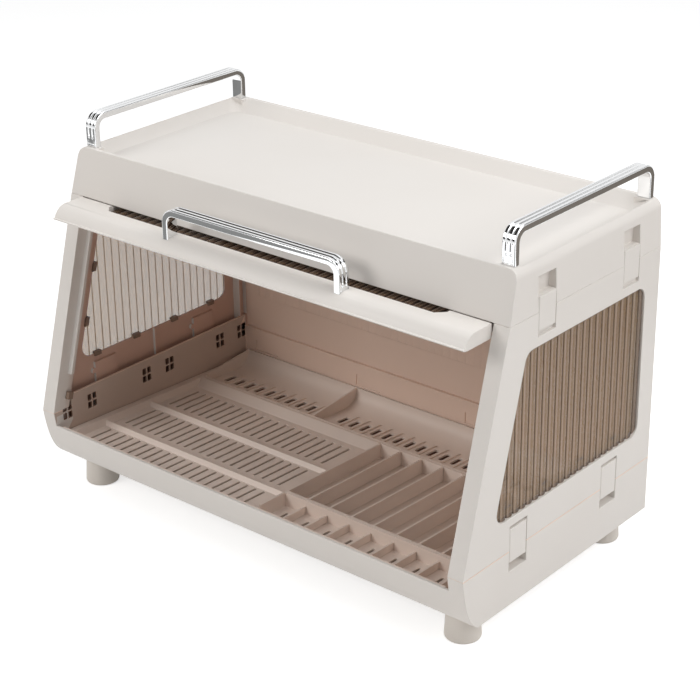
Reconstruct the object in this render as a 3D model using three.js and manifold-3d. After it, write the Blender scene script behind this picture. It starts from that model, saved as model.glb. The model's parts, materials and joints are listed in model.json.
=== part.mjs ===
// Countertop dish cabinet with a drain insert and a lift-up front door that slides in under its top.
// X runs to the right, Y to the back and Z up. The origin is the middle of the footprint, on the floor.
// The door is drawn open, lying level under the top cover.

import * as THREE from "three";
import { mergeVertices } from "three/addons/utils/BufferGeometryUtils.js";
import Module from "manifold-3d";

const wasm = await Module();
wasm.setup();

// Overall sizes
const WIDTH = 540;
const FOOT_HEIGHT = 32;
const BASE_HEIGHT = 57;
const PANEL_HEIGHT = 219;
const COVER_HEIGHT = 47;
const FRONT_LEAN = 61;
const SIDE_WALL = 17;
const SKIN = 3;
const SLACK = 0.3;
const OVERRUN = 4;

// Base tray
const FRONT_TUCK = 24;
const LIP_DROP = 15;
const BASE_BACK_WALL = 12;
const BASE_FLOOR = 3;
const VENT_WIDTH = 5;
const VENT_HEIGHT = 6.8;
const VENT_BAR = 2;
const VENT_DEPTH = 4;
const SKIRT_RISE = 13;
const VENT_BELOW_SKIRT = 9.6;
const VENT_PAIR_GAP = 34.5;
const VENT_END_INSET = 36;
const LATCH_LINE = 1;
const LATCH_DEPTH = 1.4;
const LATCH_HEIGHT = 12;
const LATCH_LENGTH = 33;
const LATCH_SIDE = 16;
const LATCH_COUNT = 4;
const LATCH_BELOW_SEAM = 14;

// Feet
const FOOT_BOTTOM_RADIUS = 17.5;
const FOOT_TOP_RADIUS = 15.5;
const FOOT_EDGE = 1.5;
const FOOT_SIDE_INSET = 33;
const FOOT_FRONT_INSET = 46;
const FOOT_BACK_INSET = 26;
const PEG_RADIUS = 5;
const PEG_RISE = 3;

// Drain insert, in a frame of its own whose top plane is level with the side rims
const RACK_TILT_DEGREES = 2.5;
const RACK_FRONT_Y = 25;
const RACK_HEIGHT = 32.2;
const RACK_SLACK = 0.6;
const RACK_SKIN = 2.2;
const RIM_WIDTH = 8;
const RIM_THICK = 2.5;
const LEDGE_WIDTH = 5;
const GRID_DROP = 6.5;
const GRID_SLOPE = 6;
const RACK_BELOW_LIP = 1.3;
const RACK_FRONT_REACH = 19.8;
const RACK_FRONT_FOOT = 12;
const RIDGE_DROP = 2;
const RIDGE_TOP = 2;
const RIDGE_FOOT = 8;
const RIDGE_Y = 38;
const ROW_COUNT = 3;
const ROW_GAP = 19.7;
const ROW_MARGIN = 8;
const ROW_END = 32.6;
const SLOT_WIDTH = 2.8;
const SLOT_PITCH = 10.8;
const FRONT_SLOT_LENGTH = 41;
const HIGH_RIDGE_TOP = 4;
const HIGH_RIDGE_SLOPE = 11.5;
const GRID_CLEAR = 1;
const PLATE_WALL_X = 8.3;
const PLATE_CLEAR = 3.4;
const PLATE_FLOOR = 2;
const DIVIDER_THICK = 2.4;
const DIVIDER_PITCH = 27;
const CUP_WALL_Y = 37.5;
const CUP_WALL = 3;
const CUP_DROP = 14.3;
const CUP_DIVIDER_DROP = 6;
const CUP_SLOT_Y = 12;
const CUP_SLOT_LENGTH = 13;
const CUP_SLOT_WIDTH = 3;
const PLATE_SLOT_END = 19.5;
const PLATE_SLOT_GAP = 20;
const PLATE_SLOT_WIDTH = 5;
const TROUGH_CLEAR = 6.3;
const TROUGH_FALL = 1.6;
const TROUGH_LENGTH = 80;
const TROUGH_SWEEP = 27.5;
const TROUGH_BACK_GAP = 1.2;
const TROUGH_BACK_RISE = 9;
const TROUGH_SLOT_FROM_RIDGE = 20.5;
const TROUGH_SLOT_LENGTH = 18;
const TROUGH_SLOT_WIDTH = 5.4;
const TROUGH_SLOT_PITCH = 15;
const TROUGH_WEB_X = 87;
const TROUGH_WEB = 2.4;
const TROUGH_RIB = 1.4;
const TROUGH_RIB_RISE = 1.5;
const TROUGH_RIB_PAST_SLOT = 10;
const TROUGH_RIB_FADE = 6;

// Side panels and their windows
const WINDOW_BELOW = 33.5;
const WINDOW_ABOVE = 32;
const WINDOW_FRONT = 35.5;
const WINDOW_BACK = 24;
const WINDOW_RADIUS = 11;
const WINDOW_SKIN = 3.3;
const LIP_BELOW = 7;
const LIP_ABOVE = 6;
const LIP_FRONT = 3;
const LIP_BACK = 9;
const REBATE = 3.5;
const PANE_THICK = 2;
const FLUTE_PITCH = 10;
const FLUTE_RISE = 2;
const TAB_WIDTH = 9;
const TAB_HEIGHT = 4;
const TAB_THICK = 2;
const TAB_HOOK = 2.2;
const TAB_PITCH = 56.7;
const TAB_FIRST = 22.8;
const FRONT_TAB_SHARES = [0.25, 0.65];
const FIELD_DEPTH = 9.5;
const FIELD_TOP = 22;
const FIELD_SETBACK = 20.5;
const FIELD_RIB = 2.5;
const HOUSING_HEIGHT = 19;
const HOUSING_RISE = 3;
const BOSS_RADIUS = 3;
const BACK_STRIP_WIDTH = 8;
const BACK_STRIP_INSET = 9;
const BACK_STRIP_DEPTH = 5;
const STOP_RIB = 4;
const STOP_RIB_REACH = 5;
const STOP_RIB_SETBACK = 12.5;
const STOP_RIB_ABOVE = 37;
const STOP_RIB_BELOW = 14;
const BUMPER_HEIGHT = 8;
const BUMPER_DEPTH = 7;
const BUMPER_ABOVE = 17;

// Back panel
const BACK_PANEL_THICK = 6;
const BACK_PANEL_INSET = 3;
const BACK_FLUTE_DEPTH = 0.8;
const BACK_FLUTE_BOTTOM = 40;
const BACK_FLUTE_TOP = 16;
const BACK_FLUTE_SIDE = 20;

// Top cover
const COVER_TAPER = 2.5;
const COVER_ROUND = 10;
const TRAY_DEPTH = 12;
const TRAY_SIDE = 7;
const TRAY_FLARE = 13;
const TRAY_FRONT = 3.2;
const TRAY_BACK = 5;
const TRAY_CORNER = 10;
const HANDLE_LAND = 2;
const TRAY_FLOOR = 3;

// Handles and their screws
const HANDLE_HEIGHT = 34;
const HANDLE_WIDTH = 14;
const HANDLE_THICK = 7;
const HANDLE_ROUND = 15;
const HANDLE_GROOVE = 1.8;
const HANDLE_GROOVE_DEPTH = 0.8;
const HANDLE_GROOVE_OFFSET = 2.6;
const HANDLE_SIDE_INSET = 16;
const HANDLE_BACK_INSET = 3;
const HANDLE_FRONT_INSET = 3.9;
const SCREW_RADIUS = 1.7;
const SCREW_GRIP = 9;
const SCREW_HEAD_RADIUS = 3.4;
const SCREW_HEAD = 2.4;

// Front door
const PIVOT_BELOW_SEAM = 7;
const DOOR_SILL_GAP = 8.3;
const RAIL_FASCIA_GAP = 1.5;
const DOOR_TAIL_GAP = 38.475;
const LEAF_THICK = 11;
const LEAF_GAP = 1;
const RAIL_LENGTH = 39.5;
const RAIL_RISE = 7.5;
const RAIL_SINK = 6.8;
const RAIL_NOSE = 19;
const RAIL_LIP = 3;
const RAIL_LIP_STEP = 1.8;
const RAIL_LIP_LENGTH = 6;
const RAIL_GAP = 0.8;
const DOOR_WINDOW_NEAR = 26;
const DOOR_WINDOW_INTO_RAIL = 12.5;
const DOOR_WINDOW_SIDE = 44.5;
const DOOR_WINDOW_CORNER = 8;
const DOOR_PANE_RISE = 1.5;
const DOOR_HANDLE_INSET = 17;
const DOOR_HANDLE_SEAT = 3;
const PIN_RADIUS = 1.5;
const PIN_SEAT = 10;
const PIN_REACH = 5;
const GROOVE_HEIGHT = 7.6;
const GROOVE_DEPTH = 7;
const GROOVE_END = 2;
const SHOE_HEIGHT = 7;
const SHOE_DEPTH = 6;
const SHOE_NOSE = 2.7;
const SHOE_TAIL = 16;

// Sliding locks
const LOCK_WIDTH = 26.5;
const LOCK_THICK = 3;
const LOCK_RECESS = 3.3;
const LOCK_CHAMFER = 1;
const UPPER_LOCK_ABOVE = 14;
const UPPER_LOCK_BELOW = 18;
const UPPER_LOCK_FOOT_GAP = 5;
const UPPER_POCKET_HEIGHT = 18;
const POCKET_INTO_WALL = 9;
const UPPER_LOCK_BACK = 49.5;
const UPPER_LOCK_FRONT = 55.5;
const LOWER_LOCK_ABOVE = 22;
const LOWER_LOCK_BELOW = 12;
const LOWER_LOCK_HEAD_GAP = 3;
const LOWER_POCKET_HEIGHT = 9;
const LOWER_LOCK_BACK = 71.5;
const LOWER_LOCK_FRONT = 82;
const LOCK_HOUSING = 2;

// The door's length, and the depth of the cabinet that it slides into
const leanAngle = Math.atan2(PANEL_HEIGHT, FRONT_LEAN);
const doorRise = PANEL_HEIGHT - PIVOT_BELOW_SEAM + LIP_DROP - DOOR_SILL_GAP;
const doorReach = doorRise / Math.sin(leanAngle);
const railStart = doorReach - RAIL_LENGTH;
const openPivotDepth = FRONT_LEAN - RAIL_FASCIA_GAP + railStart;
const depth = openPivotDepth + LEAF_THICK / 2 + DOOR_TAIL_GAP + BACK_PANEL_THICK + BACK_PANEL_INSET;

// Places worked out from the sizes above
const frontY = -depth / 2;
const backY = depth / 2;
const openPivotY = frontY + openPivotDepth;
const sideX = WIDTH / 2;
const insideX = sideX - SIDE_WALL;
const baseZ = FOOT_HEIGHT;
const lowSeamZ = baseZ + BASE_HEIGHT;
const highSeamZ = lowSeamZ + PANEL_HEIGHT;
const topZ = highSeamZ + COVER_HEIGHT;
const lipZ = lowSeamZ - LIP_DROP;
const skirtHigh = lowSeamZ + SKIRT_RISE;
const frontAt = (z) => frontY + (z - lowSeamZ) * FRONT_LEAN / PANEL_HEIGHT;
const backInnerY = backY - BASE_BACK_WALL;
const fieldSetback = FIELD_SETBACK / Math.sin(leanAngle);
const handleLength = backY - HANDLE_BACK_INSET - frontAt(topZ) - HANDLE_FRONT_INSET;
const pivotZ = highSeamZ - PIVOT_BELOW_SEAM;
const closedPivotY = frontAt(pivotZ) + LEAF_THICK / 2 / Math.sin(leanAngle);
const upperLockYs = [frontAt(highSeamZ) + UPPER_LOCK_FRONT, backY - UPPER_LOCK_BACK];
const lowerLockYs = [frontY + LOWER_LOCK_FRONT, backY - LOWER_LOCK_BACK];

// Materials, with the colours seen in the photograph
function finish(color, roughness, metalness) {
  return new THREE.MeshStandardMaterial({ color, roughness, metalness });
}

const CREAM = finish(0xe4dfd8, 0.45, 0);
const CHROME = finish(0xd8dadc, 0.08, 1);
const SMOKE = finish(0x7d6a5a, 0.25, 0);
const RUBBER = finish(0x5a3f30, 0.7, 0);
const STEEL = finish(0xb9bcc0, 0.3, 1);

// Solids, joins and cuts
function solid(geometry) {
  const bare = geometry.clone();
  bare.deleteAttribute("normal");
  bare.deleteAttribute("uv");
  const merged = mergeVertices(bare);
  const vertProperties = new Float32Array(merged.attributes.position.array);
  const triVerts = new Uint32Array(merged.index.array);
  return new wasm.Manifold(new wasm.Mesh({ numProp: 3, vertProperties, triVerts }));
}

const join = (first, ...rest) => rest.reduce((whole, piece) => whole.add(piece), first);
const cut = (whole, ...tools) => tools.reduce((left, tool) => left.subtract(tool), whole);
const keep = (whole, ...limits) => limits.reduce((left, limit) => left.intersect(limit), whole);

function shell(body) {
  const { vertProperties, triVerts } = body.getMesh();
  const geometry = new THREE.BufferGeometry();
  geometry.setAttribute("position", new THREE.Float32BufferAttribute(vertProperties, 3));
  geometry.setIndex([...triVerts]);
  geometry.computeVertexNormals();
  return geometry;
}

// A box from its lowest to its highest corner
function box(low, high) {
  const size = high.map((value, i) => value - low[i]);
  const geometry = new THREE.BoxGeometry(...size);
  geometry.translate(...size.map((value, i) => low[i] + value / 2));
  return solid(geometry);
}

// An outline pushed along X holds (y, z) points, along Y (x, z) points and along Z (x, y) points
function prism(axis, points, from, to) {
  const outline = new THREE.Shape(points.map(([a, b]) => new THREE.Vector2(a, b)));
  const geometry = new THREE.ExtrudeGeometry(outline, { depth: to - from, bevelEnabled: false });
  const turn = new THREE.Matrix4();
  if (axis === "x") turn.set(0, 0, 1, from, 1, 0, 0, 0, 0, 1, 0, 0, 0, 0, 0, 1);
  if (axis === "y") turn.set(1, 0, 0, 0, 0, 0, -1, to, 0, 1, 0, 0, 0, 0, 0, 1);
  if (axis === "z") turn.set(1, 0, 0, 0, 0, 1, 0, 0, 0, 0, 1, from, 0, 0, 0, 1);
  return solid(geometry.applyMatrix4(turn));
}

// A round bar along X, Y or Z
function bar(axis, radius, centre, from, to, sides = 24) {
  const geometry = new THREE.CylinderGeometry(radius, radius, to - from, sides);
  if (axis === "x") geometry.rotateZ(-Math.PI / 2);
  if (axis === "z") geometry.rotateX(Math.PI / 2);
  const middle = (from + to) / 2;
  if (axis === "x") geometry.translate(middle, centre[0], centre[1]);
  if (axis === "y") geometry.translate(centre[0], middle, centre[1]);
  if (axis === "z") geometry.translate(centre[0], centre[1], middle);
  return solid(geometry);
}

// Rounds the corners of an outline with arcs; a radius of zero keeps the corner
function rounded(points, radii, steps = 5) {
  const outline = [];
  points.forEach((point, i) => {
    const corner = new THREE.Vector2(...point);
    const before = new THREE.Vector2(...points[(i + points.length - 1) % points.length]).sub(corner);
    const after = new THREE.Vector2(...points[(i + 1) % points.length]).sub(corner);
    const radius = Array.isArray(radii) ? radii[i] : radii;
    if (radius === 0) {
      outline.push(point);
      return;
    }
    const half = Math.acos(before.clone().normalize().dot(after.clone().normalize())) / 2;
    const start = corner.clone().add(before.setLength(radius / Math.tan(half)));
    const end = corner.clone().add(after.setLength(radius / Math.tan(half)));
    const toCentre = start.clone().add(end).multiplyScalar(1 / 2).sub(corner);
    const centre = corner.clone().add(toCentre.setLength(radius / Math.sin(half)));
    const first = start.clone().sub(centre).angle();
    const turn = Math.PI - 2 * half;
    const sense = Math.sign(start.clone().sub(centre).cross(end.clone().sub(centre)));
    for (let k = 0; k <= steps; k += 1) {
      const angle = first + sense * turn * k / steps;
      outline.push([centre.x + radius * Math.cos(angle), centre.y + radius * Math.sin(angle)]);
    }
  });
  return outline;
}

// A closed body through level outlines that have the same number of points, lowest first
function loft(outlines, heights) {
  const count = outlines[0].length;
  const positions = outlines.flatMap((outline, i) => outline.flatMap(([x, y]) => [x, y, heights[i]]));
  const index = [];
  for (let level = 0; level + 1 < outlines.length; level += 1) {
    for (let i = 0; i < count; i += 1) {
      const a = level * count + i;
      const b = level * count + (i + 1) % count;
      index.push(a, b, b + count, a, b + count, a + count);
    }
  }
  const last = (outlines.length - 1) * count;
  const flat = (outline) => outline.map(([x, y]) => new THREE.Vector2(x, y));
  THREE.ShapeUtils.triangulateShape(flat(outlines[0]), []).forEach(([a, b, c]) => index.push(a, c, b));
  const upper = THREE.ShapeUtils.triangulateShape(flat(outlines[outlines.length - 1]), []);
  upper.forEach(([a, b, c]) => index.push(last + a, last + b, last + c));
  const geometry = new THREE.BufferGeometry();
  geometry.setAttribute("position", new THREE.Float32BufferAttribute(positions, 3));
  geometry.setIndex(index);
  return solid(geometry);
}

const rectangle = (x0, x1, y0, y1) => [[x0, y0], [x1, y0], [x1, y1], [x0, y1]];

// The same piece on the left hand side
function mirrored(body) {
  const geometry = shell(body);
  geometry.scale(-1, 1, 1);
  const index = geometry.index.array;
  for (let i = 0; i < index.length; i += 3) {
    const kept = index[i + 1];
    index[i + 1] = index[i + 2];
    index[i + 2] = kept;
  }
  return solid(geometry);
}

const cabinet = new THREE.Group();

function place(name, body, material, parent = cabinet) {
  const mesh = new THREE.Mesh(shell(body), material);
  mesh.name = name;
  parent.add(mesh);
  return mesh;
}

function placePair(name, body, material) {
  place(`${name}_right`, body, material);
  place(`${name}_left`, mirrored(body), material);
}

// Side view of the base: a tucked curve at the front, square at the back
const tuckCurveShares = [[0, 1], [0.12, 0.61], [0.33, 0.14], [1, 0]];

function baseSideView(inset) {
  const [top, high, low, bottom] = tuckCurveShares.map(([tuckShare, heightShare]) => new THREE.Vector2(
    frontY + inset + FRONT_TUCK * tuckShare,
    baseZ + BASE_HEIGHT * heightShare,
  ));
  const curve = new THREE.CubicBezierCurve(top, high, low, bottom).getPoints(14);
  return curve.map((point) => [point.x, point.y]);
}

// Frame of the tilted drain insert: y back from the pivot line, z up from the rim plane
const rackTilt = THREE.MathUtils.degToRad(RACK_TILT_DEGREES);
const rackY = frontY + RACK_FRONT_Y;
const rackZ = baseZ + RACK_HEIGHT;
const rackPoint = (y, z) => [
  rackY + y * Math.cos(rackTilt) + z * Math.sin(rackTilt),
  rackZ - y * Math.sin(rackTilt) + z * Math.cos(rackTilt),
];
const rackSide = insideX - RACK_SLACK;
const rackFrontRise = lipZ - RACK_BELOW_LIP - rackZ;
const gridSide = insideX - LEDGE_WIDTH - GRID_CLEAR;
const troughBackY = depth - RACK_FRONT_Y - BASE_BACK_WALL - TROUGH_BACK_GAP;
const highRidgeY = troughBackY - TROUGH_LENGTH;
const roomUnder = (y) => (rackZ - baseZ - BASE_FLOOR) / Math.cos(rackTilt) - y * Math.tan(rackTilt);
const plateDrop = roomUnder(highRidgeY) - PLATE_CLEAR - PLATE_FLOOR;
const troughBackDrop = roomUnder(troughBackY) - TROUGH_CLEAR;
const troughFrontDrop = troughBackDrop - TROUGH_FALL;
const rowPitch = (highRidgeY - HIGH_RIDGE_SLOPE - ROW_MARGIN - ROW_END) / (ROW_COUNT - 1);

// Sliding locks and the recesses that they run in
function lockPlate(y, low, high) {
  const inner = sideX - LOCK_RECESS + SLACK;
  const outer = inner + LOCK_THICK;
  const half = LOCK_WIDTH / 2 - SLACK;
  const face = [
    [inner, y - half],
    [inner, y + half],
    [outer - LOCK_CHAMFER, y + half],
    [outer, y + half - LOCK_CHAMFER],
    [outer, y - half + LOCK_CHAMFER],
    [outer - LOCK_CHAMFER, y - half],
  ];
  return prism("z", face, low, high);
}

function lockRecess(y, low, high, depth) {
  const half = LOCK_WIDTH / 2;
  return box([sideX - depth, y - half, low], [sideX + OVERRUN, y + half, high]);
}

const upperPlateLow = highSeamZ - UPPER_LOCK_BELOW;
const upperPlateHigh = highSeamZ + UPPER_LOCK_ABOVE;
const lowerPlateLow = lowSeamZ - LOWER_LOCK_BELOW;
const lowerPlateHigh = lowSeamZ + LOWER_LOCK_ABOVE;

const upperRecesses = upperLockYs.flatMap((y) => [
  lockRecess(y, upperPlateLow - UPPER_LOCK_FOOT_GAP, upperPlateHigh, LOCK_RECESS),
  lockRecess(y, upperPlateHigh, upperPlateHigh + UPPER_POCKET_HEIGHT, POCKET_INTO_WALL),
]);
const lowerRecesses = lowerLockYs.flatMap((y) => [
  lockRecess(y, lowerPlateLow, lowerPlateHigh + LOWER_LOCK_HEAD_GAP, LOCK_RECESS),
  lockRecess(y, lowerPlateLow - LOWER_POCKET_HEIGHT, lowerPlateLow, POCKET_INTO_WALL),
]);

function addLocks() {
  const ends = ["front", "back"];
  ends.forEach((end, i) => {
    const upper = lockPlate(upperLockYs[i], upperPlateLow, upperPlateHigh);
    const lower = lockPlate(lowerLockYs[i], lowerPlateLow, lowerPlateHigh);
    placePair(`upper_lock_${end}`, upper, CREAM);
    placePair(`lower_lock_${end}`, lower, CREAM);
  });
}

// Base tray: an open tub with hollow side walls, a low front lip and ledges for the drain insert
function sideWallPockets() {
  const reach = LOCK_WIDTH / 2 + LOCK_HOUSING;
  const breaks = [
    frontY + FRONT_TUCK,
    lowerLockYs[0] - reach,
    lowerLockYs[0] + reach,
    lowerLockYs[1] - reach,
    lowerLockYs[1] + reach,
    backY - SKIN,
  ];
  const pockets = [];
  for (let i = 0; i < breaks.length; i += 2) {
    const low = [insideX + SKIN, breaks[i], baseZ + BASE_FLOOR];
    pockets.push(box(low, [sideX - SKIN, breaks[i + 1], lowSeamZ + OVERRUN]));
  }
  return pockets;
}

function ventHoles() {
  const holes = [];
  const pairPitch = backY - VENT_END_INSET;
  [-pairPitch, 0, pairPitch].forEach((pair) => {
    [-VENT_PAIR_GAP / 2, VENT_PAIR_GAP / 2].forEach((offset) => {
      [-1, 1].forEach((column) => {
        [0, 1].forEach((row) => {
          const y = pair + offset + column * (VENT_WIDTH + VENT_BAR) / 2;
          const z = skirtHigh - VENT_BELOW_SKIRT - row * (VENT_HEIGHT + VENT_BAR);
          const low = [insideX - OVERRUN, y - VENT_WIDTH / 2, z - VENT_HEIGHT];
          holes.push(box(low, [insideX + VENT_DEPTH, y + VENT_WIDTH / 2, z]));
        });
      });
    });
  });
  return holes;
}

// The inner skin of each side wall rises above the seam and covers the foot of the side panel
function baseSkirt() {
  const front = frontAt(skirtHigh) + fieldSetback + SLACK;
  return box([insideX, front, lowSeamZ - OVERRUN], [insideX + SKIN, backInnerY, skirtHigh]);
}

function latchLines() {
  const lines = [];
  const low = lowSeamZ - LATCH_BELOW_SEAM - LATCH_HEIGHT;
  const first = LATCH_SIDE - insideX;
  const pitch = (insideX - LATCH_SIDE - LATCH_LENGTH - first) / (LATCH_COUNT - 1);
  for (let i = 0; i < LATCH_COUNT; i += 1) {
    const x = first + i * pitch;
    const faceY = backInnerY - OVERRUN;
    const deepY = backInnerY + LATCH_DEPTH;
    lines.push(box([x, faceY, low], [x + LATCH_LINE, deepY, low + LATCH_HEIGHT]));
    lines.push(box([x, faceY, low], [x + LATCH_LENGTH, deepY, low + LATCH_LINE]));
  }
  return lines;
}

function rackLedge() {
  const under = -RIM_THICK - SLACK;
  const front = rackPoint(0, under);
  const back = rackPoint(troughBackY, under);
  const foot = baseZ + BASE_FLOOR - OVERRUN / 2;
  const sideView = [front, [front[0], foot], [back[0], foot], back];
  return prism("x", sideView, insideX - LEDGE_WIDTH, insideX + OVERRUN / 2);
}

function gridSupport() {
  const under = -GRID_DROP - RACK_SKIN - SLACK;
  const front = rackPoint(0, under);
  const back = rackPoint(highRidgeY - HIGH_RIDGE_SLOPE, under);
  const foot = baseZ + BASE_FLOOR - OVERRUN / 2;
  const middle = (PLATE_WALL_X - gridSide) / 2;
  return prism("x", [front, [front[0], foot], [back[0], foot], back], middle - SKIN / 2, middle + SKIN / 2);
}

function baseTray() {
  const sideView = [...baseSideView(0), [backY, baseZ], [backY, lowSeamZ]];
  const outer = prism("x", sideView, -sideX, sideX);
  const tubView = [
    [frontY + SKIN, lowSeamZ + OVERRUN],
    ...baseSideView(SKIN).filter((point) => point[1] > baseZ + BASE_FLOOR),
    [frontY + FRONT_TUCK + SKIN, baseZ + BASE_FLOOR],
    [backInnerY, baseZ + BASE_FLOOR],
    [backInnerY, lowSeamZ + OVERRUN],
  ];
  const tub = prism("x", tubView, -insideX, insideX);
  const lipCut = box([-insideX, frontY - OVERRUN, lipZ], [insideX, rackY, lowSeamZ + OVERRUN]);
  const pegHoles = footPlaces().map(([x, y]) => bar(
    "z", PEG_RADIUS + SLACK, [x, y], baseZ - OVERRUN, baseZ + BASE_FLOOR + OVERRUN,
  ));
  const oneSide = [...sideWallPockets(), ...ventHoles(), ...lowerRecesses];
  const hollowed = cut(outer, tub, lipCut, ...latchLines());
  const sides = [rackLedge(), baseSkirt()];
  const ledged = join(hollowed, ...sides, ...sides.map(mirrored), gridSupport());
  return cut(ledged, ...oneSide, ...oneSide.map(mirrored), ...pegHoles);
}

// Feet: tapered cups with a peg that goes up through the floor of the base
function footPlaces() {
  const x = sideX - FOOT_SIDE_INSET;
  const front = frontY + FOOT_FRONT_INSET;
  const back = backY - FOOT_BACK_INSET;
  return [[-x, front], [x, front], [-x, back], [x, back]];
}

function foot([x, y]) {
  const profile = [
    [0, 0],
    [FOOT_BOTTOM_RADIUS - FOOT_EDGE, 0],
    [FOOT_BOTTOM_RADIUS, FOOT_EDGE],
    [FOOT_TOP_RADIUS, FOOT_HEIGHT],
    [PEG_RADIUS, FOOT_HEIGHT],
    [PEG_RADIUS, FOOT_HEIGHT + BASE_FLOOR + PEG_RISE],
    [0, FOOT_HEIGHT + BASE_FLOOR + PEG_RISE],
  ].map(([radius, height]) => new THREE.Vector2(radius, height));
  const geometry = new THREE.LatheGeometry(profile, 28);
  geometry.rotateX(Math.PI / 2);
  geometry.translate(x, y, 0);
  return solid(geometry);
}

// Drain insert, drawn in its own tilted frame
function stadium(x, y0, y1, width) {
  const half = width / 2;
  const corner = half / 2;
  return [
    [x - half, y0 + corner], [x - corner, y0], [x + corner, y0], [x + half, y0 + corner],
    [x + half, y1 - corner], [x + corner, y1], [x - corner, y1], [x - half, y1 - corner],
  ];
}

function slot(x, y0, y1, width, low, high) {
  return prism("z", stadium(x, y0, y1, width), low, high);
}

// A slab that rises to the front lip: floor outline in (y, z), pushed along X
function frontedFloor(drop, backEnd, x0, x1) {
  const under = -drop - RACK_SKIN;
  const lean = (RACK_FRONT_REACH - RACK_FRONT_FOOT) / (rackFrontRise + GRID_DROP + RACK_SKIN);
  const wallAt = (z) => -RACK_FRONT_REACH + (rackFrontRise - z) * lean;
  return prism("x", [
    [wallAt(rackFrontRise), rackFrontRise],
    [wallAt(under), under],
    [backEnd, under],
    [backEnd, -drop],
    [wallAt(-drop) + RACK_SKIN, -drop],
    [wallAt(rackFrontRise) + RACK_SKIN, rackFrontRise],
  ], x0, x1);
}

function ridge(y) {
  const top = -RIDGE_DROP;
  const under = -GRID_DROP - RACK_SKIN / 2;
  return prism("x", [
    [y - RIDGE_TOP / 2 - RIDGE_FOOT / 2, under],
    [y + RIDGE_TOP / 2 + RIDGE_FOOT / 2, under],
    [y + RIDGE_TOP / 2, top],
    [y - RIDGE_TOP / 2, top],
  ], -gridSide + GRID_SLOPE / 2, PLATE_WALL_X - DIVIDER_THICK - SLACK);
}

const gridRight = PLATE_WALL_X - SLACK;
const gridBack = highRidgeY + HIGH_RIDGE_TOP;

function gridSlots() {
  const slots = [];
  const left = -gridSide + GRID_SLOPE;
  const count = Math.floor((gridRight - left) / SLOT_PITCH) - 2;
  for (let row = 0; row < ROW_COUNT; row += 1) {
    const end = ROW_END + row * rowPitch;
    const length = row === 0 ? FRONT_SLOT_LENGTH : rowPitch - ROW_GAP;
    for (let i = 0; i < count; i += 1) {
      const x = left + (i + 1) * SLOT_PITCH;
      const low = [x - SLOT_WIDTH / 2, end - length, -GRID_DROP - RACK_SKIN - OVERRUN];
      slots.push(box(low, [x + SLOT_WIDTH / 2, end, -GRID_DROP + OVERRUN / 4]));
    }
  }
  return slots;
}

function drainGrid() {
  const floor = frontedFloor(GRID_DROP, gridBack, -gridSide, gridRight);
  const rim = prism("y", [
    [-rackSide, 0],
    [-rackSide, -RIM_THICK],
    [-gridSide, -RIM_THICK],
    [-gridSide, -GRID_DROP - RACK_SKIN],
    [-gridSide + GRID_SLOPE, -GRID_DROP - RACK_SKIN],
    [-gridSide + GRID_SLOPE, -GRID_DROP],
    [-gridSide + RACK_SKIN, 0],
  ], -RACK_FRONT_FOOT, gridBack);
  const highRidge = prism("x", [
    [highRidgeY - HIGH_RIDGE_SLOPE, -GRID_DROP - RACK_SKIN],
    [gridBack, -GRID_DROP - RACK_SKIN],
    [gridBack, 0],
    [highRidgeY, 0],
    [highRidgeY - HIGH_RIDGE_SLOPE, -GRID_DROP],
  ], -gridSide, gridRight);
  const whole = join(floor, rim, highRidge, ridge(RIDGE_Y), ridge(RIDGE_Y + rowPitch));
  return cut(whole, ...gridSlots());
}

// Plate rack: a deep box with a slotted floor and a rim on the right
const plateFront = CUP_WALL_Y + CUP_WALL;
const plateInnerLeft = PLATE_WALL_X + DIVIDER_THICK;
const plateInnerRight = rackSide - RIM_WIDTH;
const dividerX = (i) => PLATE_WALL_X + DIVIDER_THICK / 2 + (i + 1) * DIVIDER_PITCH;
const gapX = (i) => dividerX(i) - DIVIDER_PITCH / 2;
const dividerCount = Math.floor((plateInnerRight - plateInnerLeft) / DIVIDER_PITCH);

function plateRack() {
  const under = -plateDrop - PLATE_FLOOR;
  const front = CUP_WALL_Y;
  const outer = box([PLATE_WALL_X, front, under], [plateInnerRight + RACK_SKIN, gridBack, 0]);
  const rim = box([plateInnerRight, front, -RIM_THICK], [rackSide, gridBack, 0]);
  const pit = box(
    [plateInnerLeft, plateFront, -plateDrop],
    [plateInnerRight, highRidgeY + SLACK, OVERRUN],
  );
  const slots = [];
  const middle = (plateFront + highRidgeY) / 2;
  const ends = [
    [plateFront + PLATE_SLOT_END, middle - PLATE_SLOT_GAP / 2],
    [middle + PLATE_SLOT_GAP / 2, highRidgeY - PLATE_SLOT_END],
  ];
  for (let i = 0; i <= dividerCount; i += 1) {
    ends.forEach(([from, to]) => {
      slots.push(slot(gapX(i), from, to, PLATE_SLOT_WIDTH, under - OVERRUN, -plateDrop + OVERRUN / 2));
    });
  }
  return cut(join(outer, rim), pit, ...slots);
}

function plateDivider(i) {
  const half = DIVIDER_THICK / 2;
  const low = [dividerX(i) - half, plateFront + SLACK, -plateDrop + SLACK];
  return box(low, [dividerX(i) + half, highRidgeY, 0]);
}

// Cup rack: a shallow box along the lip, one drain slot in each cell
const cupBack = CUP_WALL_Y - SLACK;

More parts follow.
